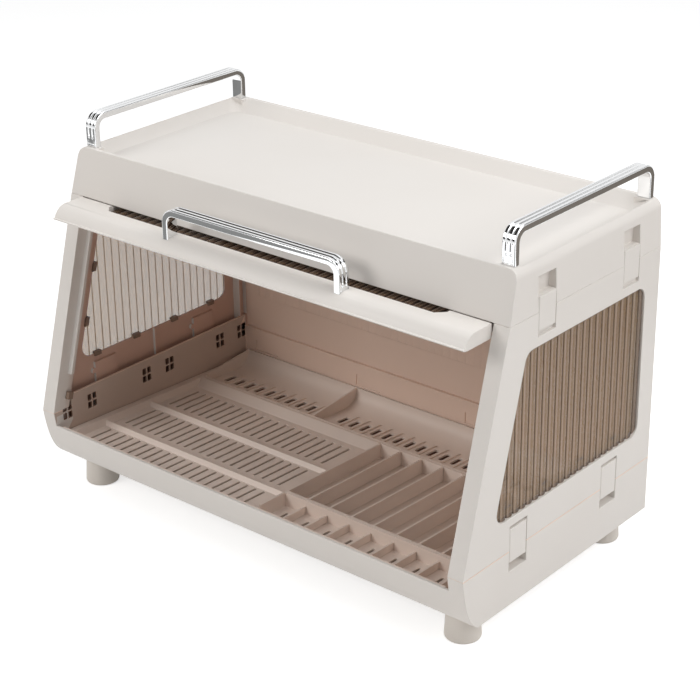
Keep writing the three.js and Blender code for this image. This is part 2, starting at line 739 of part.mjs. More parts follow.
function cupRack() {
  const floor = frontedFloor(CUP_DROP, cupBack, PLATE_WALL_X, plateInnerRight + RACK_SKIN);
  const under = -CUP_DROP - RACK_SKIN;
  const leftWall = box([PLATE_WALL_X, 0, under], [plateInnerLeft, cupBack, 0]);
  const rightWall = box([plateInnerRight, 0, under], [plateInnerRight + RACK_SKIN, cupBack, 0]);
  const rim = box([plateInnerRight, 0, -RIM_THICK], [rackSide, cupBack, 0]);
  const backWall = box(
    [PLATE_WALL_X, cupBack - RACK_SKIN, under],
    [plateInnerRight + RACK_SKIN, cupBack, 0],
  );
  const slots = [];
  for (let i = 0; i <= dividerCount; i += 1) {
    slots.push(slot(gapX(i), CUP_SLOT_Y, CUP_SLOT_Y + CUP_SLOT_LENGTH,
      CUP_SLOT_WIDTH, under - OVERRUN, -CUP_DROP + OVERRUN / 2));
  }
  return cut(join(floor, leftWall, rightWall, rim, backWall), ...slots);
}

function cupDivider(i) {
  const half = DIVIDER_THICK / 2;
  const low = [dividerX(i) - half, 0, -CUP_DROP + SLACK];
  return box(low, [dividerX(i) + half, cupBack - RACK_SKIN - SLACK, -CUP_DIVIDER_DROP]);
}

// Rear trough: a sloping slotted floor that sweeps up into the back wall
const troughSlotY = gridBack + TROUGH_SLOT_FROM_RIDGE;
const troughHalf = insideX - LEDGE_WIDTH - SLACK;

function troughSweep(lift) {
  const start = new THREE.Vector2(troughBackY - TROUGH_SWEEP, -troughBackDrop + lift);
  const corner = new THREE.Vector2(troughBackY - lift, -troughBackDrop + lift);
  const end = new THREE.Vector2(troughBackY - lift, TROUGH_BACK_RISE);
  return new THREE.QuadraticBezierCurve(start, corner, end).getPoints(8).map((point) => [point.x, point.y]);
}

function troughSideView() {
  const front = gridBack + SLACK;
  return [
    [front, 0],
    [front, -troughFrontDrop],
    ...troughSweep(0),
    ...troughSweep(RACK_SKIN).reverse(),
    [front + RACK_SKIN, -troughFrontDrop + RACK_SKIN],
    [front + RACK_SKIN, 0],
  ];
}

// A low rib between two slots, fading out behind them
function troughRib(x) {
  const front = gridBack + SLACK + RACK_SKIN / 2;
  const back = troughBackY - TROUGH_SWEEP;
  const floorAt = (y) => RACK_SKIN - troughFrontDrop - TROUGH_FALL * (y - front) / (back - front);
  const fade = troughSlotY + TROUGH_SLOT_LENGTH + TROUGH_RIB_PAST_SLOT - TROUGH_RIB_FADE;
  const tip = fade + TROUGH_RIB_FADE;
  const under = RACK_SKIN / 2;
  return prism("x", [
    [front, floorAt(front) - under],
    [tip, floorAt(tip) - under],
    [tip, floorAt(tip)],
    [fade, floorAt(fade) + TROUGH_RIB_RISE],
    [front, floorAt(front) + TROUGH_RIB_RISE],
  ], x - TROUGH_RIB / 2, x + TROUGH_RIB / 2);
}

function rearTrough() {
  const front = gridBack + SLACK;
  const filled = [[front, 0], [front, -troughFrontDrop], ...troughSweep(0)];
  const end = prism("x", filled, troughHalf - RACK_SKIN, troughHalf);
  const rim = box([troughHalf - RACK_SKIN, front, -RIM_THICK], [rackSide, troughBackY, 0]);
  const web = prism("x", filled, -TROUGH_WEB_X - TROUGH_WEB / 2, -TROUGH_WEB_X + TROUGH_WEB / 2);
  const slots = [];
  const ribs = [];
  const count = Math.floor((2 * troughHalf - TROUGH_SLOT_PITCH) / TROUGH_SLOT_PITCH);
  for (let i = 0; i < count; i += 1) {
    const x = (i - (count - 1) / 2) * TROUGH_SLOT_PITCH;
    const clearOfWeb = Math.abs(x + TROUGH_WEB_X) > TROUGH_SLOT_PITCH;
    if (clearOfWeb) {
      slots.push(slot(x, troughSlotY, troughSlotY + TROUGH_SLOT_LENGTH,
        TROUGH_SLOT_WIDTH, -troughBackDrop - OVERRUN, 0));
      ribs.push(troughRib(x + TROUGH_SLOT_PITCH / 2));
    }
  }
  const trough = prism("x", troughSideView(), -troughHalf, troughHalf);
  return cut(join(trough, end, mirrored(end), rim, mirrored(rim), web, ...ribs), ...slots);
}

function addDrainInsert() {
  const insert = new THREE.Group();
  insert.position.set(0, rackY, rackZ);
  insert.rotation.x = -rackTilt;
  cabinet.add(insert);
  place("drain_grid", drainGrid(), CREAM, insert);
  place("rear_trough", rearTrough(), CREAM, insert);
  place("plate_rack", plateRack(), CREAM, insert);
  place("cup_rack", cupRack(), CREAM, insert);
  for (let i = 0; i < dividerCount; i += 1) {
    place(`plate_divider_${i + 1}`, plateDivider(i), CREAM, insert);
    place(`cup_divider_${i + 1}`, cupDivider(i), CREAM, insert);
  }
}

// Side panels: slabs with a sloped front, a window, hollows on the inner face and the door groove
function windowCorners(low, high, front, back, radius) {
  return rounded([[frontAt(low) + front, low], [back, low], [back, high], [frontAt(high) + front, high]], radius);
}

function windowOutline(grow) {
  const low = lowSeamZ + WINDOW_BELOW - grow;
  const high = highSeamZ - WINDOW_ABOVE + grow;
  const front = WINDOW_FRONT - grow / Math.sin(leanAngle);
  return windowCorners(low, high, front, backY - WINDOW_BACK + grow, WINDOW_RADIUS + grow);
}

// The hole inside the seat, smaller than the pane by a lip on each side
const holeLow = lowSeamZ + WINDOW_BELOW + LIP_BELOW;
const holeHigh = highSeamZ - WINDOW_ABOVE - LIP_ABOVE;
const holeFront = WINDOW_FRONT + LIP_FRONT / Math.sin(leanAngle);
const holeBack = backY - WINDOW_BACK - LIP_BACK;
const windowHole = () => windowCorners(holeLow, holeHigh, holeFront, holeBack, WINDOW_RADIUS);

const paneOuterX = sideX - WINDOW_SKIN - SLACK;
const paneInnerX = paneOuterX - PANE_THICK;

// The hollow inner face: one wide field round the window, with the lock housings and a rib left standing
function panelField() {
  const low = lowSeamZ - OVERRUN;
  const high = highSeamZ - FIELD_TOP;
  const stripFrom = backY - BACK_STRIP_INSET - BACK_STRIP_WIDTH;
  const back = stripFrom - FIELD_RIB;
  const outline = [
    [frontAt(low) + fieldSetback, low],
    [back, low],
    [back, high],
    [frontAt(high) + fieldSetback, high],
  ];
  const deep = insideX + FIELD_DEPTH;
  const field = prism("x", outline, insideX - OVERRUN, deep);
  const face = deep - HOUSING_RISE;
  const foot = skirtHigh + SLACK;
  const housings = lowerLockYs.flatMap((y) => {
    const half = LOCK_WIDTH / 2 + LOCK_HOUSING;
    return [
      box([face, y - half, foot - OVERRUN], [deep + OVERRUN, y + half, foot + HOUSING_HEIGHT]),
      bar("x", BOSS_RADIUS, [y - half - BOSS_RADIUS / 2, foot + HOUSING_HEIGHT / 2], face, deep + OVERRUN, 16),
    ];
  });
  const middle = (lowerLockYs[0] + lowerLockYs[1]) / 2;
  const rib = box([face, middle - FIELD_RIB / 2, foot - OVERRUN], [deep + OVERRUN, middle + FIELD_RIB / 2, holeLow]);
  const strip = box(
    [insideX - OVERRUN, stripFrom, foot],
    [insideX + BACK_STRIP_DEPTH, stripFrom + BACK_STRIP_WIDTH, high],
  );
  const skirtFront = frontAt(skirtHigh) + fieldSetback;
  const skirtRoom = box([insideX - OVERRUN, skirtFront, low], [insideX + SKIN + SLACK, backInnerY + SLACK, foot]);
  return [cut(field, rib, ...housings), strip, skirtRoom];
}

function guideGroove() {
  const half = GROOVE_HEIGHT / 2;
  const front = closedPivotY - SHOE_NOSE - SLACK;
  const back = openPivotY + SHOE_TAIL + GROOVE_END;
  return box([insideX - OVERRUN, front, pivotZ - half], [insideX + GROOVE_DEPTH, back, pivotZ + half]);
}

function stopRib() {
  const low = lowSeamZ + STOP_RIB_ABOVE;
  const high = highSeamZ - STOP_RIB_BELOW;
  const near = STOP_RIB_SETBACK / Math.sin(leanAngle);
  const far = (STOP_RIB_SETBACK + STOP_RIB) / Math.sin(leanAngle);
  const sideView = [
    [frontAt(low) + near, low],
    [frontAt(low) + far, low],
    [frontAt(high) + far, high],
    [frontAt(high) + near, high],
  ];
  return prism("x", sideView, insideX - STOP_RIB_REACH, insideX + OVERRUN / 2);
}

function sidePanel() {
  const sideView = [
    [frontY, lowSeamZ],
    [backY, lowSeamZ],
    [backY, highSeamZ],
    [frontAt(highSeamZ), highSeamZ],
  ];
  const slab = join(prism("x", sideView, insideX, sideX), stopRib());
  const seat = prism("x", windowOutline(0), paneInnerX - SLACK, sideX + OVERRUN);
  const opening = prism("x", windowHole(), insideX - OVERRUN, sideX);
  return cut(slab, seat, opening, guideGroove(), ...panelField(), ...upperRecesses, ...lowerRecesses);
}

// A fluted section: flat behind, a row of half-round flutes in front
function fluteWave(from, to, base, rise) {
  const count = Math.round((to - from) / FLUTE_PITCH);
  const pitch = (to - from) / count;
  const crestShares = [[0, 0], [0.15, 0.71], [0.5, 1], [0.85, 0.71]];
  const wave = [];
  for (let i = 0; i < count; i += 1) {
    crestShares.forEach(([alongShare, riseShare]) => {
      wave.push([from + (i + alongShare) * pitch, base + rise * riseShare]);
    });
  }
  wave.push([to, base]);
  return wave;
}

// Clips pass through the opening and hook behind the lip that the pane sits on
function clip(outlineFrom) {
  const hookOuter = insideX + FIELD_DEPTH - SLACK;
  const hookInner = hookOuter - TAB_THICK;
  return [
    prism("x", outlineFrom(SLACK), hookInner, paneInnerX + PANE_THICK / 2),
    prism("x", outlineFrom(-TAB_HOOK), hookInner, hookOuter),
  ];
}

function windowClips() {
  const holeAt = (z) => frontAt(z) + holeFront;
  const clips = [];
  const tabCount = Math.ceil((backY - WINDOW_BACK - TAB_FIRST - holeAt(holeLow)) / TAB_PITCH);
  for (let i = 0; i < tabCount; i += 1) {
    const y = holeAt(holeLow) + TAB_FIRST + i * TAB_PITCH;
    const [from, to] = [y - TAB_WIDTH / 2, y + TAB_WIDTH / 2];
    clips.push(...clip((inset) => rectangle(from, to, holeLow + inset, holeLow + TAB_HEIGHT)));
  }
  FRONT_TAB_SHARES.forEach((share) => {
    const foot = holeLow + (holeHigh - holeLow) * share;
    const head = foot + TAB_WIDTH;
    clips.push(...clip((inset) => [
      [holeAt(foot) + inset, foot],
      [holeAt(foot) + TAB_HEIGHT, foot],
      [holeAt(head) + TAB_HEIGHT, head],
      [holeAt(head) + inset, head],
    ]));
  });
  return clips;
}

function sideWindow() {
  const sheet = prism("x", windowOutline(-SLACK), paneInnerX, paneOuterX);
  const from = frontAt(lowSeamZ) + WINDOW_FRONT;
  const to = backY - WINDOW_BACK + OVERRUN;
  const wave = fluteWave(from, to, paneOuterX, FLUTE_RISE).map(([y, x]) => [x, y]);
  const section = [...wave, [paneOuterX - PANE_THICK / 2, to], [paneOuterX - PANE_THICK / 2, from]];
  const flutes = keep(
    prism("z", section, lowSeamZ, highSeamZ),
    prism("x", windowOutline(-SLACK), insideX, sideX + OVERRUN),
  );
  return join(sheet, flutes, ...windowClips());
}

// Rubber stops that the closed door rests on
function doorPoint(u, v, angle, pivotY) {
  return [
    pivotY - u * Math.cos(angle) - v * Math.sin(angle),
    pivotZ - u * Math.sin(angle) + v * Math.cos(angle),
  ];
}

function bumper() {
  const middle = lowSeamZ + BUMPER_ABOVE;
  const u = (pivotZ - middle) / Math.sin(leanAngle);
  const near = -RAIL_SINK - SLACK;
  const far = near - BUMPER_DEPTH;
  const half = BUMPER_HEIGHT / 2;
  const sideView = [[u - half, near], [u + half, near], [u + half, far], [u - half, far]]
    .map(([along, across]) => doorPoint(along, across, leanAngle, closedPivotY));
  return prism("x", sideView, insideX - STOP_RIB_REACH, insideX - SLACK);
}

// Back panel between the side panels, with shallow upright flutes on its inner face
function backPanel() {
  const half = insideX - SLACK;
  const outerY = backY - BACK_PANEL_INSET;
  const innerY = outerY - BACK_PANEL_THICK;
  const slab = box([-half, innerY, lowSeamZ + SLACK], [half, outerY, highSeamZ - SLACK]);
  const from = -half + BACK_FLUTE_SIDE;
  const wave = fluteWave(from, -from, innerY - OVERRUN, OVERRUN - BACK_FLUTE_DEPTH);
  const field = box(
    [from, innerY - OVERRUN, lowSeamZ + BACK_FLUTE_BOTTOM],
    [-from, innerY + BACK_FLUTE_DEPTH, highSeamZ - BACK_FLUTE_TOP],
  );
  const crests = wave.map(([x, y]) => [x, innerY - (y - innerY + OVERRUN) / OVERRUN * BACK_FLUTE_DEPTH]);
  const raised = [...crests.map(([x, y]) => [x, y + BACK_FLUTE_DEPTH]), [-from, outerY], [from, outerY]];
  const flutes = prism("z", raised, lowSeamZ + BACK_FLUTE_BOTTOM, highSeamZ - BACK_FLUTE_TOP);
  return join(cut(slab, field), flutes);
}

// Top cover: rounded outside, hollow below, with a flared tray sunk in its top
function coverOuter() {
  const sideView = [
    [frontAt(highSeamZ), highSeamZ],
    [backY, highSeamZ],
    [backY, topZ],
    [frontAt(topZ), topZ],
  ];
  const frontView = rounded(
    [[-sideX, highSeamZ], [sideX, highSeamZ], [sideX - COVER_TAPER, topZ], [COVER_TAPER - sideX, topZ]],
    [0, 0, COVER_ROUND, COVER_ROUND],
  );
  return keep(prism("x", sideView, -sideX, sideX), prism("y", frontView, frontY, backY));
}

const trayFloorZ = topZ - TRAY_DEPTH;

function trayRecess() {
  const outline = (grow) => rounded(rectangle(
    -sideX + TRAY_SIDE + TRAY_FLARE - grow,
    sideX - TRAY_SIDE - TRAY_FLARE + grow,
    frontAt(topZ) + TRAY_FRONT + TRAY_FLARE - grow,
    backY - TRAY_BACK - TRAY_FLARE + grow,
  ), TRAY_CORNER);
  const above = 1 + OVERRUN / TRAY_DEPTH;
  return loft([outline(0), outline(TRAY_FLARE * above)], [trayFloorZ, trayFloorZ + TRAY_DEPTH * above]);
}

function coverHollow() {
  const ceiling = trayFloorZ - TRAY_FLOOR;
  const wall = SKIN / Math.sin(leanAngle);
  const low = highSeamZ - OVERRUN;
  const sideView = [
    [frontAt(low) + wall, low],
    [backY - SKIN, low],
    [backY - SKIN, ceiling],
    [frontAt(ceiling) + wall, ceiling],
  ];
  return prism("x", sideView, -sideX + POCKET_INTO_WALL + SKIN, sideX - POCKET_INTO_WALL - SKIN);
}

const topHandleX = sideX - HANDLE_SIDE_INSET;
const topHandleEnds = [
  backY - HANDLE_BACK_INSET - handleLength + HANDLE_THICK / 2,
  backY - HANDLE_BACK_INSET - HANDLE_THICK / 2,
];

// Corners of the tray that stay at rim height and carry the handles' feet
function handleLands() {
  const inner = topHandleX - HANDLE_WIDTH / 2 - HANDLE_LAND;
  const reach = HANDLE_THICK / 2 + HANDLE_LAND;
  const high = topZ + 2 * OVERRUN;
  return [
    box([inner, frontY, trayFloorZ - OVERRUN], [sideX, topHandleEnds[0] + reach, high]),
    box([inner, topHandleEnds[1] - reach, trayFloorZ - OVERRUN], [sideX, backY, high]),
  ];
}

function topCover() {
  const screwHoles = topHandleEnds.map((y) => bar(
    "z", SCREW_RADIUS + SLACK, [topHandleX, y], trayFloorZ - TRAY_FLOOR - OVERRUN, topZ + OVERRUN, 16,
  ));
  const holes = [...upperRecesses, ...screwHoles];
  const tray = cut(trayRecess(), ...handleLands(), ...handleLands().map(mirrored));
  const hollowed = cut(coverOuter(), tray, coverHollow());
  return cut(hollowed, ...holes, ...holes.map(mirrored));
}

// Handles: a flat bar bent down at both ends, three ridges along its outer face
function handleOutline(inset) {
  const half = handleLength / 2 - inset;
  const top = HANDLE_HEIGHT - inset;
  const corners = [[-half, 0], [half, 0], [half, top], [-half, top]];
  return rounded(corners, [0, 0, HANDLE_ROUND - inset, HANDLE_ROUND - inset], 6);
}

function handleBar() {
  const halfWidth = HANDLE_WIDTH / 2;
  const outer = prism("y", handleOutline(0), -halfWidth, halfWidth);
  const inner = handleOutline(HANDLE_THICK).map(([x, z]) => [x, z === 0 ? -OVERRUN : z]);
  const opening = prism("y", inner, -halfWidth - OVERRUN, halfWidth + OVERRUN);
  const core = handleOutline(HANDLE_GROOVE_DEPTH).map(([x, z]) => [x, z === 0 ? -OVERRUN : z]);
  const grooves = [-1, 1].map((side) => {
    const y = side * HANDLE_GROOVE_OFFSET;
    const band = prism("y", handleOutline(-OVERRUN), y - HANDLE_GROOVE / 2, y + HANDLE_GROOVE / 2);
    return cut(band, prism("y", core, y - HANDLE_GROOVE, y + HANDLE_GROOVE));
  });
  const reach = handleLength / 2 - HANDLE_THICK / 2;
  const screwHoles = [-reach, reach].map((x) => bar(
    "z", SCREW_RADIUS + SLACK, [x, 0], -OVERRUN, SCREW_GRIP + SLACK, 12,
  ));
  return cut(outer, opening, ...grooves, ...screwHoles);
}

function addHandle(name, x, y, z, turn) {
  const mesh = place(name, handleBar(), CHROME);
  mesh.position.set(x, y, z);
  mesh.rotation.z = turn;
}

function screw(depth) {
  const profile = [
    [0, -depth - SCREW_HEAD - SLACK],
    [SCREW_HEAD_RADIUS, -depth - SCREW_HEAD - SLACK],
    [SCREW_HEAD_RADIUS, -depth - SLACK],
    [SCREW_RADIUS, -depth - SLACK],
    [SCREW_RADIUS, SCREW_GRIP - SLACK],
    [0, SCREW_GRIP - SLACK],
  ].map(([radius, height]) => new THREE.Vector2(radius, height));
  const geometry = new THREE.LatheGeometry(profile, 12);
  geometry.rotateX(Math.PI / 2);
  return solid(geometry);
}

function addTopHandles() {
  const middle = (topHandleEnds[0] + topHandleEnds[1]) / 2;
  const rimThick = TRAY_DEPTH + TRAY_FLOOR;
  [["left", -1], ["right", 1]].forEach(([side, sign]) => {
    addHandle(`top_handle_${side}`, sign * topHandleX, middle, topZ + SLACK, Math.PI / 2);
    ["front", "back"].forEach((end, i) => {
      const mesh = place(`handle_screw_${side}_${end}`, screw(rimThick), STEEL);
      mesh.position.set(sign * topHandleX, topHandleEnds[i], topZ + SLACK);
    });
  });
}

// Front door, drawn level: u runs from the pivot to the lip, v out of its face
const doorY = (u) => openPivotY - u;
const doorZ = (v) => pivotZ + v;
const leafHalf = insideX - STOP_RIB_REACH - LEAF_GAP;
const railHalf = insideX - RAIL_GAP;

function railSideView() {
  const crown = new THREE.Vector2(doorReach - RAIL_NOSE, RAIL_RISE);
  const shoulder = new THREE.Vector2(doorReach - RAIL_LIP_LENGTH, RAIL_RISE);
  const lipTop = new THREE.Vector2(doorReach - RAIL_LIP_STEP, RAIL_LIP - RAIL_SINK);
  const nose = new THREE.QuadraticBezierCurve(crown, shoulder, lipTop).getPoints(7);
  return [
    [railStart, RAIL_RISE],
    ...nose.map((point) => [point.x, point.y]),
    [doorReach, RAIL_LIP - RAIL_SINK],
    [doorReach, RAIL_LIP / 2 - RAIL_SINK],
    [doorReach - RAIL_LIP_LENGTH, -RAIL_SINK],
    [railStart, -RAIL_SINK],
  ].map(([u, v]) => [doorY(u), doorZ(v)]);
}

function doorWindowOutline(grow) {
  const half = insideX - DOOR_WINDOW_SIDE + grow;
  const far = doorY(railStart + DOOR_WINDOW_INTO_RAIL + grow);
  const near = doorY(DOOR_WINDOW_NEAR - grow);
  const chamfer = DOOR_WINDOW_CORNER;
  return [
    [-half + chamfer, far], [half - chamfer, far], [half, far + chamfer], [half, near - chamfer],
    [half - chamfer, near], [-half + chamfer, near], [-half, near - chamfer], [-half, far + chamfer],
  ];
}

const doorHandleY = doorY(doorReach - DOOR_HANDLE_INSET);
const doorHandleFeet = [-1, 1].map((side) => side * (handleLength - HANDLE_THICK) / 2);

function doorFrame() {
  const half = LEAF_THICK / 2;
  const leaf = box(
    [-leafHalf, doorY(railStart + OVERRUN), doorZ(-half)],
    [leafHalf, openPivotY, doorZ(half)],
  );
  const bead = bar("x", half, [openPivotY, pivotZ], -leafHalf, leafHalf);
  const rail = prism("x", railSideView(), -railHalf, railHalf);
  const opening = prism("z", doorWindowOutline(0), doorZ(-half - OVERRUN), doorZ(RAIL_RISE + OVERRUN));
  const seatZ = doorZ(DOOR_PANE_RISE + SLACK);
  const rebate = prism("z", doorWindowOutline(REBATE), doorZ(-RAIL_SINK - OVERRUN), seatZ);
  const footX = HANDLE_THICK / 2 + SLACK;
  const footY = HANDLE_WIDTH / 2 + SLACK;
  const feet = doorHandleFeet.flatMap((x) => [
    box(
      [x - footX, doorHandleY - footY, doorZ(DOOR_HANDLE_SEAT - SLACK)],
      [x + footX, doorHandleY + footY, doorZ(RAIL_RISE + OVERRUN)],
    ),
    bar("z", SCREW_RADIUS + SLACK, [x, doorHandleY], doorZ(-RAIL_SINK - OVERRUN), doorZ(RAIL_RISE), 12),
    bar("z", SCREW_HEAD_RADIUS + SLACK, [x, doorHandleY], doorZ(-RAIL_SINK - OVERRUN),
      doorZ(-RAIL_SINK + SCREW_HEAD + SLACK), 16),
  ]);
  const pinHoles = [-1, 1].map((side) => {
    const from = side > 0 ? leafHalf - PIN_SEAT - SLACK : -leafHalf - OVERRUN;
    return bar("x", PIN_RADIUS + SLACK, [openPivotY, pivotZ], from, from + PIN_SEAT + SLACK + OVERRUN, 16);
  });
  return cut(join(leaf, bead, rail), opening, rebate, ...feet, ...pinHoles);
}

function doorWindow() {
  const outer = doorZ(DOOR_PANE_RISE);
  const flange = prism("z", doorWindowOutline(REBATE - SLACK), outer - PANE_THICK, outer);
  const half = insideX - DOOR_WINDOW_SIDE;
  const wave = fluteWave(-half, half, outer, FLUTE_RISE);
  const section = [...wave, [half, outer - PANE_THICK / 2], [-half, outer - PANE_THICK / 2]];
  const flutes = keep(
    prism("y", section, doorY(doorReach), doorY(0)),
    prism("z", doorWindowOutline(-SLACK), doorZ(-RAIL_SINK), doorZ(RAIL_RISE)),
  );
  return join(flange, flutes);
}

function doorPin() {
  return bar("x", PIN_RADIUS, [openPivotY, pivotZ], leafHalf - PIN_SEAT, insideX + PIN_REACH, 16);
}

// Guide shoes carry the door pins along the grooves
function doorShoe() {
  const half = SHOE_HEIGHT / 2;
  const inner = insideX + SLACK;
  const body = box(
    [inner, openPivotY - SHOE_NOSE, pivotZ - half],
    [inner + SHOE_DEPTH, openPivotY + SHOE_TAIL, pivotZ + half],
  );
  const holeEnd = insideX + PIN_REACH + SLACK;
  const hole = bar("x", PIN_RADIUS + SLACK, [openPivotY, pivotZ], inner - OVERRUN, holeEnd, 16);
  return cut(body, hole);
}

function addDoor() {
  place("door_frame", doorFrame(), CREAM);
  place("door_window", doorWindow(), SMOKE);
  placePair("door_pin", doorPin(), STEEL);
  placePair("door_shoe", doorShoe(), CREAM);
  addHandle("door_handle", 0, doorHandleY, doorZ(DOOR_HANDLE_SEAT), 0);
  ["left", "right"].forEach((side, i) => {
    const depth = DOOR_HANDLE_SEAT + RAIL_SINK - SCREW_HEAD - SLACK;
    const mesh = place(`door_screw_${side}`, screw(depth), STEEL);
    mesh.position.set(doorHandleFeet[i], doorHandleY, doorZ(DOOR_HANDLE_SEAT));
  });
}

place("base_tray", baseTray(), CREAM);
["front_left", "front_right", "back_left", "back_right"].forEach((corner, i) => {
  place(`foot_${corner}`, foot(footPlaces()[i]), CREAM);
});
addDrainInsert();
placePair("side_panel", sidePanel(), CREAM);
placePair("side_window", sideWindow(), SMOKE);
placePair("door_bumper", bumper(), RUBBER);
place("back_panel", backPanel(), CREAM);
place("top_cover", topCover(), CREAM);
addTopHandles();
addDoor();
addLocks();

export default cabinet;
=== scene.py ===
# %% [markdown]
# # A countertop dish cabinet, dressed for its portrait
# The cabinet's solids were drawn in CAD and packed. This lesson loads them as a fixed frame and
# gives each one the soft edges, the smoked windows, the chrome and the light of the real thing.
# Every length is in metres. X runs to the right, Y to the back, Z up, and the floor is at zero.

# %% The frame
import json
import math

import bmesh
import bpy
from mathutils import Matrix, Vector

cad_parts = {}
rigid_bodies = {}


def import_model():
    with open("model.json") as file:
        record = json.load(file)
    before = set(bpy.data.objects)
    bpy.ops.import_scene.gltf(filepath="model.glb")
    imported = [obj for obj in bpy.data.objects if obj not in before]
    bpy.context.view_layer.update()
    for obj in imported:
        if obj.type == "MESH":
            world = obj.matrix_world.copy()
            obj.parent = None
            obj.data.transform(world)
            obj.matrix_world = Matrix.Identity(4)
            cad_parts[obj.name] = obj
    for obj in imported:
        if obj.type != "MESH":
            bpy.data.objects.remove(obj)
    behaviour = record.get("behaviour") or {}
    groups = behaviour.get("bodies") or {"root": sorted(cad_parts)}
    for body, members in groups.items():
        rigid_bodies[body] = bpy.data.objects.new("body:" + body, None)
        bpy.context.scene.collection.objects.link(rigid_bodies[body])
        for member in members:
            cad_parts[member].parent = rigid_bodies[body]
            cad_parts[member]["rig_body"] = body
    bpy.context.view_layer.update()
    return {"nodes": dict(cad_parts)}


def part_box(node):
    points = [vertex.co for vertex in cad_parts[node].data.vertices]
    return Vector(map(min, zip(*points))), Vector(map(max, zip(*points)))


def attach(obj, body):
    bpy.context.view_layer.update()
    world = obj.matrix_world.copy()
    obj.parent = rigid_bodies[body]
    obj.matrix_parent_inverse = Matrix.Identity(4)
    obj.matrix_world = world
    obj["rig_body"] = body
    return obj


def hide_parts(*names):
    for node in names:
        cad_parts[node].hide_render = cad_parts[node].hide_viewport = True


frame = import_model()
nodes = frame["nodes"]


def rounded(values, digits=3):
    return [round(value, digits) for value in values]


# %% [markdown]
# ## Where the camera stood
# The photograph looks down on the cabinet from its front right corner. Its viewpoint was worked
# out from straight edges, once the cabinet's width was settled, so the camera can be written as a
# place and three angles. Turning the three angles into the camera's own axes by hand keeps the
# small roll that the picture has.

# %% The camera
CAMERA_PLACE = Vector((1.090481, -1.263225, 0.941971))
CAMERA_YAW = math.radians(40.3056)
CAMERA_PITCH = math.radians(24.5634)
CAMERA_ROLL = math.radians(-0.746)
FOCAL_LENGTH = 96.19
FILM_WIDTH = 36


def camera_axes(yaw, pitch, roll):
    """The camera's right, up and backward directions."""
    ahead = Vector((
        -math.sin(yaw) * math.cos(pitch), math.cos(yaw) * math.cos(pitch), -math.sin(pitch),
    ))
    level = Vector((math.cos(yaw), math.sin(yaw), 0))
    upright = level.cross(ahead)
    right = level * math.cos(roll) + upright * math.sin(roll)
    up = upright * math.cos(roll) - level * math.sin(roll)
    return right, up, -ahead


camera_data = bpy.data.cameras.new("camera")
camera_data.sensor_width = FILM_WIDTH
camera_data.lens = FOCAL_LENGTH
camera = bpy.data.objects.new("camera", camera_data)
turn = Matrix(camera_axes(CAMERA_YAW, CAMERA_PITCH, CAMERA_ROLL)).transposed().to_4x4()
camera.matrix_world = Matrix.Translation(CAMERA_PLACE) @ turn
bpy.context.scene.collection.objects.link(camera)
bpy.context.scene.camera = camera
bpy.context.scene.view_settings.view_transform = "Standard"
print("camera", rounded(CAMERA_PLACE), "lens", FOCAL_LENGTH)

# %% [markdown]
# ## Shader sums as Python sums
# A material could be wired by hand, node by node. Writing it as an expression is easier to read: a
# small class holds one socket, and each operator adds the Math node that it stands for. Any other
# node comes from one method that takes the node's type, its settings and the values of its
# sockets.

# %% A socket that does sums


class Value:
    """One socket of a material. A sum with it adds a Math node."""

    def __init__(self, tree, socket):
        self.tree = tree
        self.socket = socket

    def _sum(self, operation, first, second):
        node = self.tree.nodes.new("ShaderNodeMath")
        node.operation = operation
        for slot, given in zip(node.inputs, (first, second)):
            if isinstance(given, Value):
                self.tree.links.new(given.socket, slot)
            else:
                slot.default_value = given
        return Value(self.tree, node.outputs[0])

    def __add__(self, other):
        return self._sum("ADD", self, other)

    def __radd__(self, other):
        return self._sum("ADD", other, self)

    def __sub__(self, other):
        return self._sum("SUBTRACT", self, other)

    def __rsub__(self, other):
        return self._sum("SUBTRACT", other, self)

    def __mul__(self, other):
        return self._sum("MULTIPLY", self, other)

    def __rmul__(self, other):
        return self._sum("MULTIPLY", other, self)

    def __truediv__(self, other):
        return self._sum("DIVIDE", self, other)

    def __rtruediv__(self, other):
        return self._sum("DIVIDE", other, self)

    def larger(self, other):
        return self._sum("MAXIMUM", self, other)

    def smaller(self, other):
        return self._sum("MINIMUM", self, other)

    def repeat(self, length):
        """Runs up to the length and back to zero, again and again."""
        return self._sum("PINGPONG", self, length)


print("a Value takes + - * / and larger, smaller and repeat")

# %% A finish and its colours


class Finish:
    """A material with one Principled shader, and a way to add any node to it."""

    def __init__(self, name):
        self.material = bpy.data.materials.new(name)
        self.material.use_nodes = True
        self.tree = self.material.node_tree
        self.shader = self.tree.nodes["Principled BSDF"]

    def node(self, kind, settings=None, output=0, **sockets):
        """Adds a node. A socket goes by its name, or by its number after an underscore."""
        node = self.tree.nodes.new(kind)
        for name, setting in (settings or {}).items():
            setattr(node, name, setting)
        for name, given in sockets.items():
            self.feed(node.inputs[int(name[1:]) if name[1:].isdigit() else name], given)
        return Value(self.tree, node.outputs[output])

    def feed(self, slot, given):
        if isinstance(given, Value):
            self.tree.links.new(given.socket, slot)
        else:
            slot.default_value = given

    def set(self, name, given):
        self.feed(self.shader.inputs[name], given)

    def place(self):
        return self.node("ShaderNodeTexCoord", output="Object")

    def noise(self, scale, detail=2.0, roughness=0.5):
        return self.node(
            "ShaderNodeTexNoise",
            Vector=self.place(), Scale=scale, Detail=detail, Roughness=roughness,
        )

    def blend(self, share, first, second):
        return self.node(
            "ShaderNodeMix", {"data_type": "RGBA"}, output=2, _0=share, _6=first, _7=second,
        )

    def bump(self, height, distance, strength=1.0):
        normal = self.node("ShaderNodeBump", Height=height, Distance=distance, Strength=strength)
        self.set("Normal", normal)


